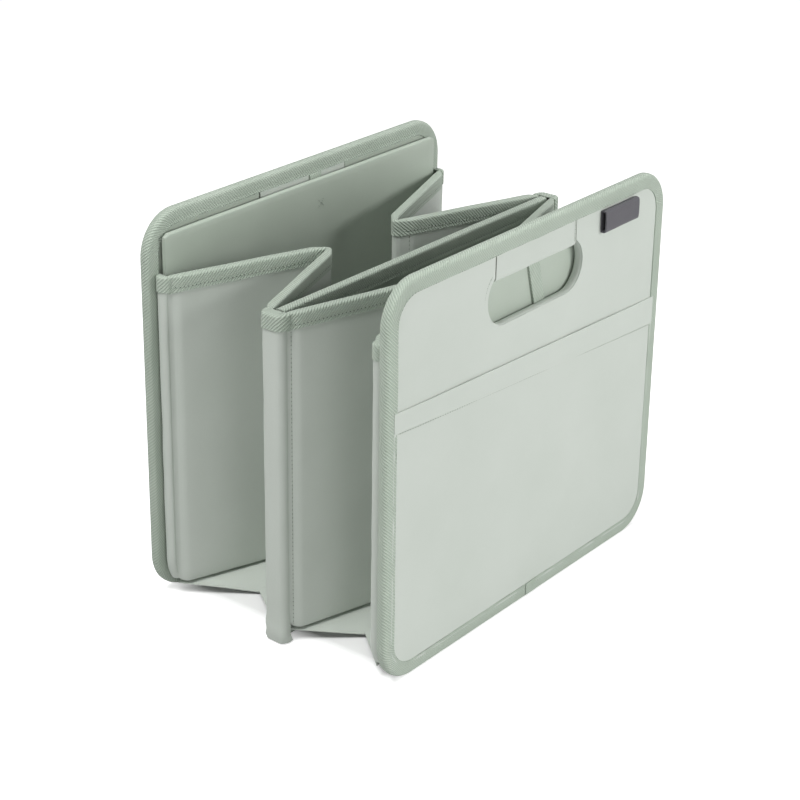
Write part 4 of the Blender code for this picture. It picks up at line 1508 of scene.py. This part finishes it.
def lay_fan(strip, at_near, level):
    hinge = strip.near if at_near else strip.mirror(strip.near)
    body = strip.joined[0] if at_near else strip.joined[1]
    panel_body = strip.bodies[0] if at_near else strip.bodies[1]
    half_bay = abs(strip.near.y - strip.fold.y)
    panel_angle = abs(math.atan2(strip.direction.y, abs(strip.direction.x)))
    flap_angle = math.atan2(half_bay, HINGE_X - FLAP_WAIST)
    angles = steps(0, panel_angle, math.radians(1.2))
    angles += steps(panel_angle, flap_angle, math.radians(2.5))[1:]
    shares = steps(FAN_START, 1, 0.04)
    piece = cut_flat(f"floor_{strip.name}_{'near' if at_near else 'far'}", angles, shares)
    inwards_x = -strip.side
    toward_middle = 1 if strip.fold.y > hinge.y else -1
    base_z = 1.6 * MM + level * 1.3 * MM
    jointed = frozenset((body, panel_body)) in {
        frozenset((j["parent"], j["child"])) for j in frame["joints"]
    }
    spread = 1.0 if strip.side < 0 else RIGHT_SPREAD

    def edge(angle):
        return fan_radius(angle, panel_angle, half_bay, jointed, spread)

    reaches = [edge(a) for a in angles]
    area = sum(0.5 * r * s * (b - a) for r, s, a, b in zip(reaches, reaches[1:], angles, angles[1:]))
    follow = []
    for vertex in piece.data.vertices:
        angle = vertex.co.x
        if angle <= panel_angle:
            follow.append(angle / panel_angle)
        else:
            follow.append(1 - FLAP_LAG * (angle - panel_angle) / (flap_angle - panel_angle))

    def place(angle, share):
        reach = share * edge(angle)
        lift = 0.5 * MM * ripple(angle * 0.4, reach, 35 * MM, 70 + level)
        under_wall = WALL_BOTTOM - 1.0 * MM
        rim = under_wall + (base_z - under_wall) * min(1.0, reach / FAN_SLOPE)
        if angle <= panel_angle:
            height = rim + lift * 0.5 + (under_wall - rim) * ease(4 * angle / panel_angle - 3)
        else:
            outside = (angle - panel_angle) / (flap_angle - panel_angle)
            height = under_wall + (rim - under_wall) * outside + lift * outside
        return Vector((
            hinge.x + inwards_x * math.cos(angle) * reach,
            hinge.y + toward_middle * math.sin(angle) * reach,
            max(height, 0.8 * MM),
        ))

    lay(piece, place)
    if jointed:
        store_shares(piece, follow)
    thicken(piece, 0.7 * MM)
    replaced = ["rear_floor_cloth"] if "rear_end" in strip.joined else ["front_floor_cloth"]
    finish_piece(piece, cover_cloth, None if jointed else body, replaced)
    if jointed:
        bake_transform(piece)
        use_shares(piece)
    return piece


for number, strip in enumerate(STRIPS):
    for at_near in (True, False):
        fan = lay_fan(strip, at_near, (number % 2) * 2 + (0 if at_near else 1))
        print(fan.name, "reaches", [round(c, 4) for c in fan.dimensions])

# %% [markdown]
# The box stands on a plain pale sweep, as in a product picture: white to the camera, with the soft
# shadow under the box kept. The camera sees the floor's own brightness, which a little added light
# lifts to white, but the box is lit by the lamps only. The added light is left out in a rectangle round
# the box's footprint, so the floor there is darker to the camera even where the lamps reach it: the
# real shadow shows there, and a painted shadow lies over it.

# %% Floor, lamps and background
SHADOW_HALF_X = 0.13
SHADOW_HALF_Y = 0.084
SHADOW_FADE = 0.02
FLOOR_GLOW = 0.68
AMBIENT = 0.18


def white_sweep(name):
    material = bpy.data.materials.new(name)
    material.use_nodes = True
    tree = material.node_tree
    tree.nodes.clear()
    rays = add_node(tree, "ShaderNodeLightPath")
    eye = {0: rays.outputs["Is Camera Ray"], 1: rays.outputs["Is Glossy Ray"]}
    seen = add_node(tree, MATH, eye, operation="MAXIMUM")
    paper = add_node(tree, "ShaderNodeBsdfDiffuse", {"Color": linear("D4D4D4")})
    shown = add_node(tree, "ShaderNodeBsdfDiffuse", {"Color": linear("F4F4F4")})
    place = add_node(tree, "ShaderNodeTexCoord").outputs["Object"]
    split = add_node(tree, "ShaderNodeSeparateXYZ", {"Vector": place})
    off_x = add_node(tree, MATH, {0: split.outputs["X"]}, operation="ABSOLUTE")
    off_y = add_node(tree, MATH, {0: split.outputs["Y"]}, operation="ABSOLUTE")
    # Painted shadow: the added light fades to nothing inside a rectangle round the box's footprint.
    past_x = add_node(tree, MATH, {0: off_x, 1: SHADOW_HALF_X}, operation="SUBTRACT")
    past_y = add_node(tree, MATH, {0: off_y, 1: SHADOW_HALF_Y}, operation="SUBTRACT")
    past = add_node(tree, MATH, {0: past_x, 1: past_y}, operation="MAXIMUM")
    away = add_node(tree, MATH, {0: past, 1: 1 / SHADOW_FADE}, operation="MULTIPLY", use_clamp=True)
    strength = add_node(tree, MATH, {0: away, 1: FLOOR_GLOW}, operation="MULTIPLY")
    glow = add_node(tree, "ShaderNodeEmission", {"Color": linear("FFFFFF"), "Strength": strength})
    lit = add_node(tree, "ShaderNodeAddShader", {0: shown.outputs[0], 1: glow.outputs[0]})
    mixed = add_node(tree, "ShaderNodeMixShader", {0: seen, 1: paper.outputs[0], 2: lit.outputs[0]})
    add_node(tree, "ShaderNodeOutputMaterial", {"Surface": mixed.outputs[0]})
    return material


bpy.ops.mesh.primitive_plane_add(size=8, location=(0, 0, 0))
floor = bpy.context.object
floor.name = "floor"
floor.data.materials.append(white_sweep("matt_white_paper_sweep"))

world = bpy.data.worlds.new("studio")
bpy.context.scene.world = world
world.use_nodes = True
sky = world.node_tree
sky.nodes.clear()
rays = add_node(sky, "ShaderNodeLightPath")
eye = {0: rays.outputs["Is Camera Ray"], 1: rays.outputs["Is Glossy Ray"]}
seen = add_node(sky, MATH, eye, operation="MAXIMUM")
seen = add_node(sky, MATH, {0: seen, 1: rays.outputs["Is Transmission Ray"]}, operation="MAXIMUM")
strength = add_node(sky, MATH, {0: seen, 1: 1 - AMBIENT, 2: AMBIENT}, operation="MULTIPLY_ADD")
backdrop = add_node(sky, "ShaderNodeBackground", {"Color": linear("FFFFFF"), "Strength": strength})
add_node(sky, "ShaderNodeOutputWorld", {"Surface": backdrop.outputs[0]})


def soft_lamp(name, place, target, size, power):
    data = bpy.data.lights.new(name, "AREA")
    data.shape = "DISK"
    data.size = size
    data.energy = power
    lamp = bpy.data.objects.new(name, data)
    bpy.context.scene.collection.objects.link(lamp)
    lamp.location = place
    lamp.rotation_euler = (Vector(target) - Vector(place)).to_track_quat("-Z", "Y").to_euler()
    return lamp


soft_lamp("key", (0.6, -1.8, 0.7), (0, 0, 0.12), 0.9, 21)
soft_lamp("side", (-1.0, 0.08, 1.7), (0, 0, 0.0), 0.8, 20)
soft_lamp("low_side", (-1.1, -1.6, 0.5), (0, 0, 0.1), 0.7, 4)
soft_lamp("top", (-0.3, 0.0, 2.0), (0, 0, 0.1), 1.0, 9)
bpy.context.scene.view_settings.view_transform = "Standard"
print("lamps and sweep in place")
